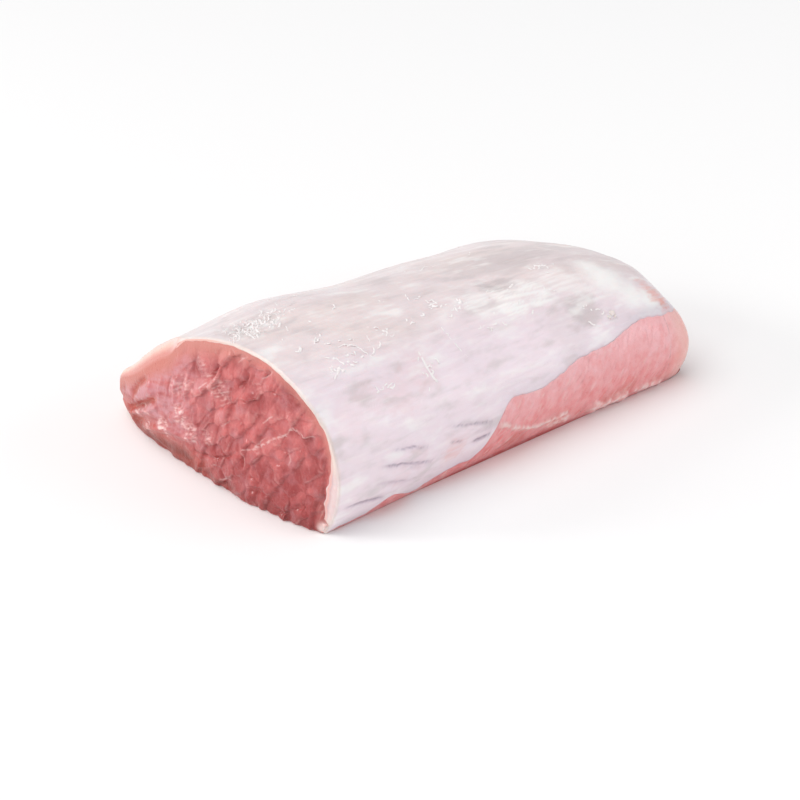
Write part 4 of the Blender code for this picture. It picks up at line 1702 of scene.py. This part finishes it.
    def round_tip(self, lower: Array, step: float, marks: Marks) -> None:
        """Colours the thin edge's tip below the rim, with painted shade in its slit.

        Args:
            lower: Points of one ring below.
            step: Distance from the cut.
            marks: The ring's marks, which this adds to.
        """
        form = self.form
        at_tip = ease(*form.tip_rim_band, lower[:, 1] - form.corner_y) * wane(*self.rim_fade, step)
        slit = bell(form.slit_z, 1.3 * form.slit_reach, lower[:, 2]) * at_tip
        slit *= wane(*form.slit_run, step)
        marks[Mark.RIM] = at_tip * (0.9 - 0.4 * float(ease(1.0 * MM, 5.0 * MM, step)))
        marks[Mark.CREAM] = 0.7 * at_tip * float(ease(0.3 * MM, 1.5 * MM, step))
        marks[Mark.GROOVE_SHADE] = 0.3 * slit
        marks[Mark.DEEP_SHADE] = marks[Mark.DEEP_SHADE] * (1 - at_tip) + 0.35 * slit
        marks[Mark.ORANGE] = 0.8 * slit


@dataclass
class MuscleBody:
    """The muscle between its two cut ends: bare flank, bed of the fat, bare thin edge and underside."""

    form: LoinForm
    camera: PhotoCamera
    end_reach: float = 0.014
    rings: int = 250
    flank: int = 66
    bed: int = 26
    thin_edge: int = 46
    seam: tuple[Stroke, ...] = (
        Stroke(
            ((497, 424), (512, 427), (524, 428), (536, 426), (546, 421), (556, 417), (568, 411)),
            1.0, 1.1, 0.9, 0.05, 0.6, 0.6,
        ),
        Stroke(((586, 410), (596, 406), (606, 402), (616, 398), (628, 393)), 2.3, 1.9, 1.0, 0.1, 0.8, 0.8),
        Stroke(
            ((630, 391), (640, 387), (652, 384), (662, 379), (672, 373)),
            2.0, 1.5, 1.0, 0.1, 0.8, 0.8, 0.4,
        ),
        Stroke(((540, 427), (550, 424), (560, 420), (572, 415)), 1.6, 1.2, 0.9, 0.2, 0.8, 0.8, 0.5),
    )

    def build(self, material: Finish) -> Piece:
        """Builds the closed mesh of the body.

        Args:
            material: The lean's material.

        Returns:
            The piece.
        """
        outline = MuscleOutline(self.form, self.flank, self.bed, self.thin_edge, Grain(5))
        lengths = np.linspace(self.end_reach, self.form.length - self.end_reach, self.rings).tolist()
        rings, tables = zip(*(outline.upper(length) for length in lengths))
        upper = np.array(rings)
        lower = np.array([outline.lower(length, ring) for length, ring in zip(lengths, rings)])
        none = np.zeros(upper.shape[1])
        marks = {kind: np.array([table.get(kind, none) for table in tables]) for kind in LEAN_MARKS}
        self.mark_flank(upper, marks)
        shell = Shell(LEAN_MARKS)
        top = shell.add(upper, marks)
        under = shell.add(lower, under_shade(lower))
        under[:, 0], under[:, -1] = top[:, 0], top[:, -1]
        shell.weave(top)
        shell.weave(under)
        for ring in (0, -1):
            shell.weave(np.array([top[ring], under[ring]]))
        return shell.build("muscle", material)

    def mark_flank(self, upper: Array, marks: Marks) -> None:
        """Adds the pale seam and the fatty foot of the flank.

        Args:
            upper: The upper surface.
            marks: Its marks, which this adds to.
        """
        grain = Grain(12)
        raised, strip = Canvas(self.camera, upper, grain).drawn(self.seam)
        at_least(marks, Mark.FILM_AND_GLINT, strip)
        at_least(marks, Mark.MARBLING_AND_GLINT, 0.80 * strip * ease(-0.30, 0.25, grain.at(upper / (2.2 * MM))))
        upper -= raised[..., None] * np.array([0.0, 1.0, 0.0])
        z = upper[..., 2]
        foot = wane(1.5 * MM, 6.0 * MM, z) * (upper[..., 1] < 0)
        broken = ease(0.05, 0.5, grain.layered(upper / (2.6 * MM), 3))
        at_least(marks, Mark.FILM_AND_GLINT, foot * broken * 0.6)
        band = bell(7.0 * MM, 4.5 * MM, z) * (upper[..., 1] < 0) * ease(-0.03, 0.0, upper[..., 0])
        at_least(marks, Mark.ORANGE, 0.40 * band * ease(-0.5, 0.4, grain.at(upper / (9 * MM))))


@dataclass
class FatLayer:
    """The fat over the back: one layer between its own skin and its bed, with folds and wrinkles."""

    form: LoinForm
    camera: PhotoCamera
    rows: int = 300
    columns: int = 240
    every: int = 6              # the bed has one row for this many of the skin
    crowding: float = 0.055     # half the share by which the rows lie closer at both ends
    first_row: float = 0.35 * MM    # behind the front cut
    off_floor: float = 0.3 * MM     # how far up the flank the layer starts at least
    axis_y: float = -0.026      # the line that the streaks are measured round
    axis_z: float = 0.010
    axis_reach: float = 0.055
    edge_rows: int = 8      # rows across the thickness at the front cut
    lift: float = 0.32 * MM
    overhang: float = 0.40 * MM     # thickness where it hangs over bare meat

    # creases of the fat; their violet lines and the soft bands beside them are painted shade
    wrinkles: tuple[Stroke, ...] = (
        Stroke(
            ((446, 428), (460, 426), (474, 424), (488, 422), (500, 420), (512, 424)),
            0.42, -0.5, 0.60, 0.3, 0.3, broken=0.4,
        ),
        Stroke(((470, 443), (480, 439), (490, 434), (499, 430), (508, 427)), 0.50, -0.8, 0.90, 0.3, 0.2),
        Stroke(((449, 443), (456, 442), (466, 442)), 0.36, -0.4, 0.60, 0.4, 0.2),
        Stroke(
            ((388, 452), (400, 449), (412, 447), (425, 447), (436, 445)),
            0.38, -0.4, 0.68, 0.4, 0.3, broken=0.3,
        ),
        Stroke(
            ((376, 468), (390, 466), (404, 464), (420, 463), (432, 461), (441, 453)),
            0.46, -0.7, 0.75, 0.3, 0.3,
        ),
        Stroke(((408, 467), (415, 467), (423, 466)), 0.34, -0.3, 0.68, 0.4, 0.2),
        Stroke(((369, 486), (384, 484), (398, 482), (419, 480)), 0.42, -0.5, 0.57, 0.4, 0.3, broken=0.3),
        Stroke(((341, 510), (354, 506), (366, 502), (379, 499), (396, 496)), 0.60, -0.9, 0.90, 0.35, 0.3),
        Stroke(((470, 433), (484, 430), (498, 424)), 0.38, -0.4, 0.45, 0.4, 0.3),
    )
    folds: tuple[Stroke, ...] = (
        Stroke(((380, 475), (410, 473), (436, 464)), 2.3, 0.7, waver=0.1),
        Stroke(((380, 458), (410, 456), (436, 449)), 2.2, 0.6, waver=0.1),
        Stroke(((448, 434), (470, 431), (496, 425)), 1.8, 0.7, waver=0.1),
        Stroke(((350, 498), (376, 493), (400, 489)), 2.0, 0.6, waver=0.1),
    )
    white_patches: tuple[Blot, ...] = (
        Blot((482, 304), 11.0, 0.7, 0.8, 0.4), Blot((508, 303), 11.0, 1.0, 0.8, 0.4),
        Blot((535, 292), 11.0, 0.9, 0.8, 0.4), Blot((560, 280), 10.0, 0.6, 0.8, 0.4),
        Blot((585, 288), 10.0, 0.5, 0.8, 0.4), Blot((252, 335), 6.0, 0.5, 0.8),
        Blot((500, 322), 8.0, 0.35, 0.8, 0.4), Blot((335, 372), 4.0, 0.3, 0.8),
    )
    # raised lobes at the far end; their white is partly painted light on the rounded tops
    lobes: tuple[Blot, ...] = (
        Blot((606, 278), 15.0, 1.0, 0.45, 0.5, 0.15), Blot((590, 268), 11.0, 0.9, 0.4, 0.6, 0.1),
        Blot((630, 292), 12.0, 0.9, 0.5, 0.5, 0.1), Blot((508, 302), 8.0, 0.5, 0.6, 0.5, 0.1),
        Blot((648, 298), 10.0, 0.9, 0.5, 0.5, 0.0),
    )
    # grey translucent fat; the patch at (585, 308) also paints the shade of the hollow there
    grey_patches: tuple[Blot, ...] = (
        Blot((500, 262), 15.0, 0.65, 0.5, 0.4), Blot((530, 252), 13.0, 0.65, 0.5, 0.4),
        Blot((470, 268), 13.0, 0.5, 0.5, 0.4), Blot((552, 246), 9.0, 0.6, 0.5, 0.4),
        Blot((585, 308), 10.0, 0.8, 0.6, 0.4), Blot((570, 330), 13.0, 0.3, 0.6, 0.4),
        Blot((488, 286), 6.0, 0.9, 0.8, 0.25), Blot((505, 281), 6.0, 0.9, 0.8, 0.25),
    )
    blushes: tuple[Blot, ...] = (
        Blot((420, 372), 10.0, 0.35, 0.8), Blot((400, 395), 10.0, 0.3, 0.8),
        Blot((350, 420), 9.0, 0.2, 0.8), Blot((370, 400), 9.0, 0.25, 0.8),
        Blot((662, 302), 6.0, 1.0, 0.9, 0.3), Blot((667, 311), 4.0, 1.0, 0.6),
        Blot((650, 293), 7.0, 0.8, 1.0, 0.3), Blot((454, 450), 8.0, 0.35, 0.9),
        Blot((400, 478), 6.0, 0.25, 0.9, 0.4), Blot((420, 458), 6.0, 0.25, 0.9, 0.4),
    )
    meat_patches: tuple[Blot, ...] = (
        Blot((664, 303), 3.2, 0.9, 0.7), Blot((654, 293), 7.0, 0.6, 1.1, 0.25),
        Blot((645, 284), 5.0, 0.4, 1.1, 0.25), Blot((454, 450), 6.0, 0.25, 0.9),
    )
    swells: tuple[tuple[Pixel, float, float], ...] = (      # middle, and reach and height in millimetres
        ((606, 279), 14.0, 0.9), ((580, 308), 12.0, -0.9), ((512, 300), 12.0, 0.6),
        ((495, 283), 9.0, -0.7), ((545, 268), 12.0, 0.4), ((420, 330), 16.0, -0.5),
        ((350, 350), 14.0, 0.5), ((470, 380), 16.0, 0.5),
    )
    specks: tuple[Blot, ...] = (
        Blot((243, 333), 7.0, 0.55, 1.2), Blot((262, 316), 8.0, 0.35, 1.2, 0.6),
        Blot((612, 315), 3.4, 0.5, 0.6), Blot((453, 442), 1.0, 0.6, 0.4),
        Blot((500, 284), 7.0, 0.30, 1.1, 0.3), Blot((520, 262), 12.0, 0.25, 1.1, 0.3),
        Blot((490, 250), 12.0, 0.20, 1.1, 0.3), Blot((590, 308), 8.0, 0.20, 1.0, 0.4),
    )
    crumpled: Blot = Blot((246, 326), 14.0, 1.0, 0.7)       # where the skin is crumpled, with tufts of fibres

    def rims(self) -> tuple[Array, Array, Array, Array]:
        """Skin and bed of the layer.

        Returns:
            The skin's points, the bed's points, the length of each row, and how far in from its lower and
            back edge each point of the skin lies.
        """
        form = self.form
        share = np.linspace(0.0, 1.0, self.rows + 1)
        lengths = form.length * (share - self.crowding * np.sin(2 * math.pi * share) / math.pi)
        lengths[0], lengths[1] = 0.0, self.first_row
        skin, bed, inside = [], [], []
        for length in lengths:
            cut = Section(form, float(length))
            low, back = cut.low - form.fat_hang(float(length)), cut.back + form.back_hang(float(length))
            where = np.linspace(low, back, self.columns + 1)
            where[0] = max(where[0], self.off_floor)
            outer, normals = cut.skin(where)
            within = np.minimum(where - where[0], where[-1] - where)
            over_low, over_back = where < cut.low, where > cut.back
            raised = self.lift * wane(1.0 * MM, 5.0 * MM, np.minimum(where - cut.low, cut.back - where))
            raised = raised * (0.5 + 0.5 * ease(0.0, 0.7 * MM, within))
            depth = cut.depth(np.clip(where, cut.low, cut.back)) + form.gap - 0.02 * MM
            depth = np.where(over_low | over_back, self.overhang, depth)
            skin.append(form.placed(outer + normals * raised[:, None], float(length)))
            bed.append(form.placed(outer - normals * depth[:, None], float(length)))
            inside.append(within)
        return np.array(skin), np.array(bed), lengths, np.array(inside)

    def relief(self, points: Array, lengths: Array, inside: Array) -> tuple[Array, Marks]:
        """Relief and colour of the skin, with painted light and shade on its lobes, a hollow, its wrinkles
        and crumples.

        Args:
            points: Points of the smooth skin.
            lengths: Length of each row.
            inside: How far in from the layer's long edges each point lies.

        Returns:
            How far each point stands out, and its marks.
        """
        grain, other = Grain(3), Grain(8)
        along = np.broadcast_to(lengths[:, None], points.shape[:2])
        canvas = Canvas(self.camera, points, other)
        x, y, z = points[..., 0], points[..., 1], points[..., 2]
        round_way = np.arctan2(z - self.axis_z, self.axis_y - y) * self.axis_reach
        waves = grain.of(x / (26 * MM), round_way / (13 * MM), 0.3)
        fibres = grain.of(x / (17 * MM), round_way / (1.7 * MM), 2.0)
        threads = other.of(x / (8 * MM), round_way / (0.8 * MM), 4.0)
        height = 0.30 * MM * waves + 0.10 * MM * fibres + 0.04 * MM * threads
        marks: Marks = {kind: np.zeros(x.shape) for kind in FAT_MARKS}
        cloud = grain.layered(np.stack([x / (22 * MM), round_way / (9 * MM), z * 0 + 6.0], axis=-1), 4, 0.6)
        streaks = ease(0.45, 0.95, fibres) + ease(0.5, 0.9, threads)
        marks[Mark.WHITE] = 0.18 * streaks + 0.65 * ease(0.05, 0.5, cloud)
        marks[Mark.GREY] = 0.25 * ease(0.3, 0.9, -fibres) + 0.7 * ease(0.0, 0.45, -cloud)
        flaky = 0.35 + 0.65 * ease(-0.5, 0.35, fibres + 0.6 * threads)
        for kind, patches, share in (
            (Mark.WHITE, self.white_patches, flaky), (Mark.WHITE, self.lobes, 1.0),
            (Mark.GREY, self.grey_patches, 1.0), (Mark.BLUSH, self.blushes, flaky),
            (Mark.SPECK, self.specks, 1 - 0.8 * flaky), (Mark.PEACH, self.meat_patches, flaky),
        ):
            at_least(marks, kind, canvas.patched(patches) * share)
        for middle, reach, raised in self.swells:
            height += raised * MM * canvas.patch(Blot(middle, reach, 1.0, 0.25, 0.5, 0.0))
        # Violet along the wrinkles and in soft bands beside them: painted shade of the folds.
        beside = tuple(Stroke(line.pixels, 3.2 * line.width, waver=0.1, fade=0.3) for line in self.wrinkles)
        wrinkled, lines = canvas.drawn(self.wrinkles)
        height += canvas.drawn(self.folds)[0] + wrinkled
        marks[Mark.VIOLET] = np.maximum(lines, 0.16 * canvas.drawn(beside)[1])
        rough = canvas.patch(self.crumpled)
        crumple = grain.layered(np.stack([x / (4.2 * MM), round_way / (2.2 * MM), z * 0], axis=-1), 3, 0.6)
        height += 0.8 * MM * rough * crumple
        # White on the raised crumples and grey in the sunk ones: painted light and shade.
        at_least(marks, Mark.WHITE, rough * ease(0.05, 0.4, crumple))
        at_least(marks, Mark.GREY, rough * ease(0.05, 0.4, -crumple) * 0.9)
        trimmed = ease(0.080, 0.100, along) * (y < -0.02)
        low_side = np.arange(x.shape[1])[None, :] < x.shape[1] // 2
        shown = np.maximum(trimmed, bell(0.0715, 0.018, along)) * low_side
        edge_line = wane(0.2 * MM, 1.3 * MM, inside) * shown
        at_sliver = 0.35 * bell(0.0640, 0.014, along)
        at_least(marks, Mark.VIOLET, (0.22 + at_sliver) * edge_line)
        at_least(marks, Mark.VIOLET, 0.12 * shown * wane(1.0 * MM, 9.0 * MM, inside))
        back_front = (1 - low_side) * wane(0.010, 0.030, along)
        at_least(marks, Mark.PEACH, 0.45 * back_front * wane(0.0, 5.0 * MM, inside))
        marks[Mark.CREAM] = 0.7 * back_front * wane(0.0, 15.0 * MM, inside)
        at_least(marks, Mark.BLUSH, 0.5 * wane(0.0, 1.3 * MM, inside) * ease(0.06, 0.10, along))
        marks[Mark.LILAC] = 0.75 * ease(0.034, 0.060, -y)
        far = ease(0.12, 0.19, along) * ease(0.0, 0.02, -y)
        at_least(marks, Mark.GREY, 0.30 * far * (1 - marks[Mark.WHITE]))
        calm = ease(-1.0 * MM, 4.0 * MM, inside) * ease(-0.5 * MM, 3.0 * MM, along)
        return height * calm - 0.30 * MM, marks

    def build(self, material: Finish) -> Piece:
        """Builds the closed mesh of the layer.

        Args:
            material: The fat's material.

        Returns:
            The piece.
        """
        skin, bed, lengths, inside = self.rims()
        normals = grid_normals(skin, np.array(MIDDLE))
        height, marks = self.relief(skin, lengths, inside)
        skin = skin + normals * height[..., None]
        front = 1 - ease(0.3 * MM, 1.8 * MM, lengths)[:, None]
        at_least(marks, Mark.CREAM, 0.5 * front)
        shell = Shell(FAT_MARKS)
        top = shell.add(skin, marks)
        picked = np.arange(0, self.rows + 1, self.every)
        under = shell.add(bed[picked], {Mark.BLUSH: np.full((len(picked), self.columns + 1), 0.6)})
        shell.weave(top)
        shell.weave(under)
        self.front_edge(shell, skin[0], bed[0], top[0], under[0])
        shell.weave(np.array([top[-1], under[-1]]))
        for column in (0, -1):
            self.long_edge(shell, top[:, column], under[:, column])
        return shell.build("fat_layer", material)

    def front_edge(self, shell: Shell, skin: Array, bed: Array, top: Array, under: Array) -> None:
        """The cut through the fat: cream at the skin, peach next to the meat, lilac in the thick corner.

        Args:
            shell: The mesh.
            skin: Points of the skin's first row.
            bed: Points of the bed's first row.
            top: Numbers of the skin's first row.
            under: Numbers of the bed's first row.
        """
        grain = Grain(19)
        rows = [top]
        thick = np.linalg.norm(skin - bed, axis=1)
        corner = ease(2.2 * MM, 5.0 * MM, thick)
        back = ease(0.050, 0.068, skin[:, 1] - self.form.corner_y)
        for share in np.linspace(0.0, 1.0, self.edge_rows + 1)[1:-1]:
            points = skin * (1 - share) + bed * share
            y, z = points[:, 1] - self.form.corner_y, points[:, 2]
            points[:, 0] = self.form.corner_x + self.form.front_x(y, z)
            crumb = grain.layered(points / (1.2 * MM), 2)
            points[:, 0] -= 0.18 * MM * crumb * math.sin(math.pi * share) * ease(0.8 * MM, 2.0 * MM, thick)
            line = float(bell(0.62, 0.10, share)) * corner
            deep = ease(0.45, 0.95, share)
            marks = {
                Mark.CREAM: np.clip((1 - corner) * 0.85 + corner * 0.25, 0, 1),
                Mark.PEACH: deep * (0.45 + 0.35 * corner) + 0.25 * corner * ease(-0.1, 0.5, crumb),
                Mark.VIOLET: 0.22 * line + 0.12 * corner * (1 - share),
                Mark.BLUSH: 0.5 * corner,
            }
            at_least(marks, Mark.PEACH, 0.75 * back)
            rows.append(shell.add(points, marks))
        rows.append(under)
        shell.weave(np.array(rows))

    def long_edge(self, shell: Shell, fine: Array, coarse: Array) -> None:
        """Closes a long edge between the skin's close rows and the bed's wide ones.

        Args:
            shell: The mesh.
            fine: Numbers of the skin's points along the edge.
            coarse: Numbers of the bed's.
        """
        half = self.every // 2
        for step, (one, two) in enumerate(zip(coarse[:-1].tolist(), coarse[1:].tolist())):
            run = fine[step * self.every : (step + 1) * self.every + 1].tolist()
            for index in range(self.every):
                shell.faces.append([run[index], run[index + 1], one if index < half else two])
            shell.faces.append([run[half], two, one])


@dataclass(frozen=True)
class Strand:
    """A loose fibre that lies on the fat, given by its pixels."""

    pixels: tuple[Pixel, ...]
    width: float            # half its width, in millimetres


@dataclass(frozen=True)
class Tuft:
    """A place on the fat with many short loose fibres."""

    middle: Pixel
    spread: float           # in pixels
    count: int


@dataclass
class LooseFibres:
    """Fine white fibres and curls on the skin of the fat, in one mesh."""

    finder: Finder
    strands: tuple[Strand, ...] = (
        Strand(((436, 322), (447, 334), (458, 347), (467, 357)), 0.22),
        Strand(((417, 350), (422, 357), (425, 364), (431, 374), (439, 384)), 0.46),
        Strand(((431, 364), (427, 368), (424, 362)), 0.24),
        Strand(((366, 327), (378, 328), (387, 332), (389, 336)), 0.28),
        Strand(((366, 333), (367, 337), (370, 342)), 0.22),
        Strand(((335, 348), (344, 345), (356, 346), (366, 353), (375, 359)), 0.30),
        Strand(((324, 358), (336, 358), (344, 364), (347, 369)), 0.36),
        Strand(((340, 366), (338, 373), (334, 380)), 0.34),
        Strand(((317, 333), (314, 341), (316, 351)), 0.28),
        Strand(((424, 300), (431, 304), (437, 303)), 0.26),
        Strand(((455, 296), (459, 303), (461, 312)), 0.40),
        Strand(((533, 265), (540, 266), (547, 265)), 0.36),
        Strand(((580, 311), (590, 310), (601, 309)), 0.26),
        Strand(((246, 334), (250, 331), (256, 334), (259, 339)), 0.34),
    )
    tufts: tuple[Tuft, ...] = (
        Tuft((234, 336), 5.0, 14), Tuft((246, 330), 7.0, 28), Tuft((262, 319), 8.0, 28),
        Tuft((280, 311), 7.0, 14), Tuft((315, 341), 5.0, 5), Tuft((350, 352), 12.0, 12),
        Tuft((338, 370), 7.0, 12), Tuft((378, 332), 9.0, 8), Tuft((426, 370), 9.0, 10),
        Tuft((386, 389), 6.0, 6), Tuft((430, 303), 6.0, 7), Tuft((458, 304), 6.0, 7),
        Tuft((412, 318), 6.0, 5), Tuft((490, 322), 9.0, 9), Tuft((540, 265), 8.0, 10),
        Tuft((515, 300), 18.0, 10), Tuft((592, 311), 8.0, 5), Tuft((300, 320), 30.0, 10),
        Tuft((420, 290), 30.0, 10),
    )
    hidden: int = 40        # fibres strewn over the side that the photograph doesn't show
    hidden_area: tuple[Pair, Pair] = ((-0.095, 0.085), (0.0, 0.050))
    seed: int = 21

    def build(self, material: Finish) -> Piece:
        """Builds all fibres.

        Args:
            material: Their material.

        Returns:
            The piece.
        """
        shell = Shell(FAT_MARKS)
        draw = np.random.default_rng(self.seed)
        for strand in self.strands:
            self.lay(shell, strand.pixels, strand.width * MM)
        for tuft in self.tufts:
            for _ in range(tuft.count):
                self.lay(shell, self.curl(tuft.middle, tuft.spread, draw), draw.uniform(0.18, 0.42) * MM)
        for _ in range(self.hidden):
            self.strew(shell, draw)
        return shell.build("loose_fibres", material)

    @staticmethod
    def curl(middle: Pixel, spread: float, draw: np.random.Generator) -> tuple[Pixel, ...]:
        """Pixels of one short bent fibre.

        Args:
            middle: Middle of its tuft.
            spread: How far fibres lie from there, in pixels.
            draw: Random numbers.

        Returns:
            The pixels.
        """
        column, row = np.array(middle) + draw.normal(size=2) * spread * np.array([1.0, 0.6])
        heading, bend, run = draw.uniform(-0.7, 1.5), draw.uniform(-3.6, 3.6), draw.uniform(2.5, 9.0)
        line = [(column, row)]
        for share in np.linspace(0.0, 1.0, 6)[1:]:
            turn = heading + bend * share
            column, row = column + run / 5 * math.cos(turn), row + run / 5 * math.sin(turn)
            line.append((column, row))
        return tuple(line)

    def lay(self, shell: Shell, pixels: tuple[Pixel, ...], width: float) -> None:
        """Lays one fibre on the fat.

        Args:
            shell: The mesh.
            pixels: Its line in the photograph.
            width: Half its width.
        """
        line, normals = self.finder.trace(pixels, 0.9)
        if len(line) > 3 and np.linalg.norm(np.diff(line, axis=0), axis=1).max() < 4 * MM:
            self.ribbon(shell, line, normals, width)

    def strew(self, shell: Shell, draw: np.random.Generator) -> None:
        """Lays one short fibre on the side that the photograph doesn't show.

        Args:
            shell: The mesh.
            draw: Random numbers.
        """
        x, y = (draw.uniform(*side) for side in self.hidden_area)
        heading, bend, run = draw.uniform(-0.9, 0.9), draw.uniform(-1.6, 1.6), draw.uniform(1.5, 5.0) * MM
        width = draw.uniform(0.10, 0.24) * MM
        line, normals = [], []
        for share in np.linspace(0.0, 1.0, 9):
            turn = heading + bend * share
            x, y = x + run / 8 * math.cos(turn), y + run / 8 * math.sin(turn)
            spot, normal, _, _ = self.finder.tree.ray_cast(Vector((x, y, 0.2)), Vector((0.0, 0.0, -1.0)))
            if spot is not None:
                line.append(spot[:])
                normals.append(normal[:])
        if len(line) == 9:
            self.ribbon(shell, np.array(line), np.array(normals), width)

    @staticmethod
    def ribbon(shell: Shell, line: Array, normals: Array, width: float) -> None:
        """Lays a flattened thread with tapered ends on the surface.

        Args:
            shell: The mesh.
            line: Points on the surface.
            normals: Normals there.
            width: Half width in the middle.
        """
        grain = Grain(14)
        count = len(line)
        line = line + 0.45 * MM * stray(line, 1.6 * MM, 9.0, grain)
        ahead = np.gradient(line, axis=0)
        ahead /= np.maximum(np.linalg.norm(ahead, axis=1, keepdims=True), 1e-9)
        normals = normals / np.linalg.norm(normals, axis=1, keepdims=True)
        aside = np.cross(ahead, normals)
        share = np.linspace(0.0, 1.0, count)
        full = np.sqrt(np.clip(np.minimum(share, 1 - share) * 5.0, 0.02, 1.0))
        wide = 1.15 * width * full * (1 + 0.45 * grain.at(line / (1.8 * MM)))
        tall = 0.34 * width * full
        turn = np.linspace(0.0, 2 * math.pi, 8, endpoint=False)
        out = wide[:, None] * np.cos(turn)
        up = tall[:, None] * (np.sin(turn) + 0.25)
        sides = aside[:, None] * out[..., None] + normals[:, None] * up[..., None]
        shell.tube(line[:, None] + sides, {Mark.WHITE: 1.0})


@dataclass
class FatKnots:
    """Small lumps of fat on the skin: the knot near the far end and a few crumbs, in one mesh."""

    finder: Finder
    knots: tuple[tuple[Pixel, float], ...] = (      # middle and half length in millimetres
        ((612, 313), 1.7), ((609, 317), 1.1), ((615, 316), 0.9),
        ((258, 333), 0.6), ((274, 314), 0.5), ((489, 298), 0.5),
    )
    seed: int = 4

    def build(self, material: Finish) -> Piece:
        """Builds all knots.

        Args:
            material: Their material.

        Returns:
            The piece.
        """
        shell = Shell(FAT_MARKS)
        draw = np.random.default_rng(self.seed)
        for pixel, size in self.knots:
            found = self.finder.meet(pixel)
            if found:
                self.lump(shell, np.array(found[0][:]), np.array(found[1][:]), size * MM, draw)
        return shell.build("fat_knots", material)

    @staticmethod
    def lump(shell: Shell, spot: Array, normal: Array, size: float, draw: np.random.Generator) -> None:
        """Adds one flattened, uneven lump that sits in the surface.

        Args:
            shell: The mesh.
            spot: Its middle on the surface.
            normal: The surface's normal.
            size: Half its length.
            draw: Random numbers.
        """
        grain = Grain(int(draw.integers(1, 900)))
        side = np.cross(normal, [0.0, 0.0, 1.0])
        side /= max(float(np.linalg.norm(side)), 1e-6)
        slant = draw.uniform(-0.5, 0.9)
        long_way = side * math.cos(slant) + np.cross(normal, side) * math.sin(slant)
        short_way = np.cross(normal, long_way)
        polar = np.linspace(0.0, math.pi, 11)[1:-1, None]
        round_way = np.linspace(0.0, 2 * math.pi, 16, endpoint=False)[None, :]
        sideways, upward = np.sin(polar) * np.cos(round_way), np.sin(polar) * np.sin(round_way)
        ball = np.stack([np.cos(polar) + 0 * round_way, sideways, upward], axis=-1)
        ball *= (1 + 0.38 * grain.layered(ball * 1.7 + 3.0, 2))[..., None]
        scale = size * np.array([1.0, draw.uniform(0.6, 0.8), 0.42])
        grid = spot + (ball * scale) @ np.stack([long_way, short_way, normal])
        shell.tube(grid, {Mark.WHITE: 0.4, Mark.CREAM: 0.4})


@dataclass
class Studio:
    """The pale floor, soft white light from all around and large soft lamps."""

    floor_reach: float = 5.0
    floor_gap: float = 0.1 * MM         # how far the floor lies below the loin
    world_strength: float = 0.39
    overhead_strength: float = 1.66     # of the overhead light, in watts per square metre
    overhead_angle: float = math.radians(60)
    overhead_way: Point = (0.30, -0.18, -1.0)

    def build(self) -> None:
        """Adds floor, world and lamps."""
        self.floor()
        world = bpy.data.worlds.new("white_room")
        world.use_nodes = True
        background = next(node for node in world.node_tree.nodes if node.type == "BACKGROUND")
        background.inputs["Color"].default_value = (1.0, 0.995, 0.99, 1.0)
        background.inputs["Strength"].default_value = self.world_strength
        bpy.context.scene.world = world
        bpy.context.scene.view_settings.view_transform = "Standard"
        overhead = bpy.data.lights.new("overhead", "SUN")
        overhead.energy, overhead.angle = self.overhead_strength, self.overhead_angle
        face_along(added("overhead", overhead), Vector(self.overhead_way))
        self.lamp("left_softbox", (-1.15, 0.90, 0.62), 0.45, (1.0, 0.985, 0.965), 7.5)
        self.lamp("front_softbox", (-1.45, -0.45, 0.60), 0.4, (1.0, 0.985, 0.97), 1.6)
        self.lamp("right_softbox", (0.75, -1.15, 0.60), 0.9, (0.99, 0.985, 1.0), 5.0)

    def floor(self) -> None:
        """Adds the floor."""
        mesh = bpy.data.meshes.new("floor")
        turns = np.linspace(0, 2 * math.pi, 64, endpoint=False)
        ring = [(math.cos(turn), math.sin(turn)) for turn in turns]
        places = [(self.floor_reach * x, self.floor_reach * y, -self.floor_gap) for x, y in ring]
        mesh.from_pydata(places, [], [list(range(len(places)))])
        mesh.materials.append(FloorFinish().material())
        added("floor", mesh)

    @staticmethod
    def lamp(name: str, spot: Point, size: float, colour: Colour, power: float) -> None:
        """Adds one square soft lamp that shines at the loin.

        Args:
            name: Its name.
            spot: Its place.
            size: Side of the square.
            colour: Colour of its light.
            power: Power in watts.
        """
        data = bpy.data.lights.new(name, "AREA")
        data.shape, data.size, data.energy, data.color = "SQUARE", size, power, colour
        lamp = added(name, data)
        lamp.location = spot
        face_along(lamp, Vector(MIDDLE) - Vector(spot))


def settle(piece: Piece) -> Piece:
    """Lets a piece ride on the loin's only body and reports it.

    Args:
        piece: The piece.

    Returns:
        The piece.
    """
    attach(piece, "root")
    LOG.info("%s: %d points, %d faces", piece.name, len(piece.data.vertices), len(piece.data.polygons))
    return piece


def main() -> None:
    """Builds the loin and the studio."""
    logging.basicConfig(level=logging.INFO, format="%(message)s")
    form = LoinForm()
    camera = PhotoCamera()
    camera.place()
    lean, fat = LeanFinish().material(), FatFinish().material()
    for end in End:
        piece = settle(CutEnd(form, end, camera).build(lean))
        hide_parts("lean")
    body = settle(MuscleBody(form, camera).build(lean))
    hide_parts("lean")
    layer = settle(FatLayer(form, camera).build(fat))
    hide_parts("fat_cap")
    on_fat = Finder.of_piece(camera, layer)
    white_fat = FatFinish(white=tint(252, 246, 246), softness=0.0).material("fat_fibres")
    settle(LooseFibres(on_fat).build(white_fat))
    settle(FatKnots(on_fat).build(fat))
    Studio().build()


if __name__ == "__main__":
    main()
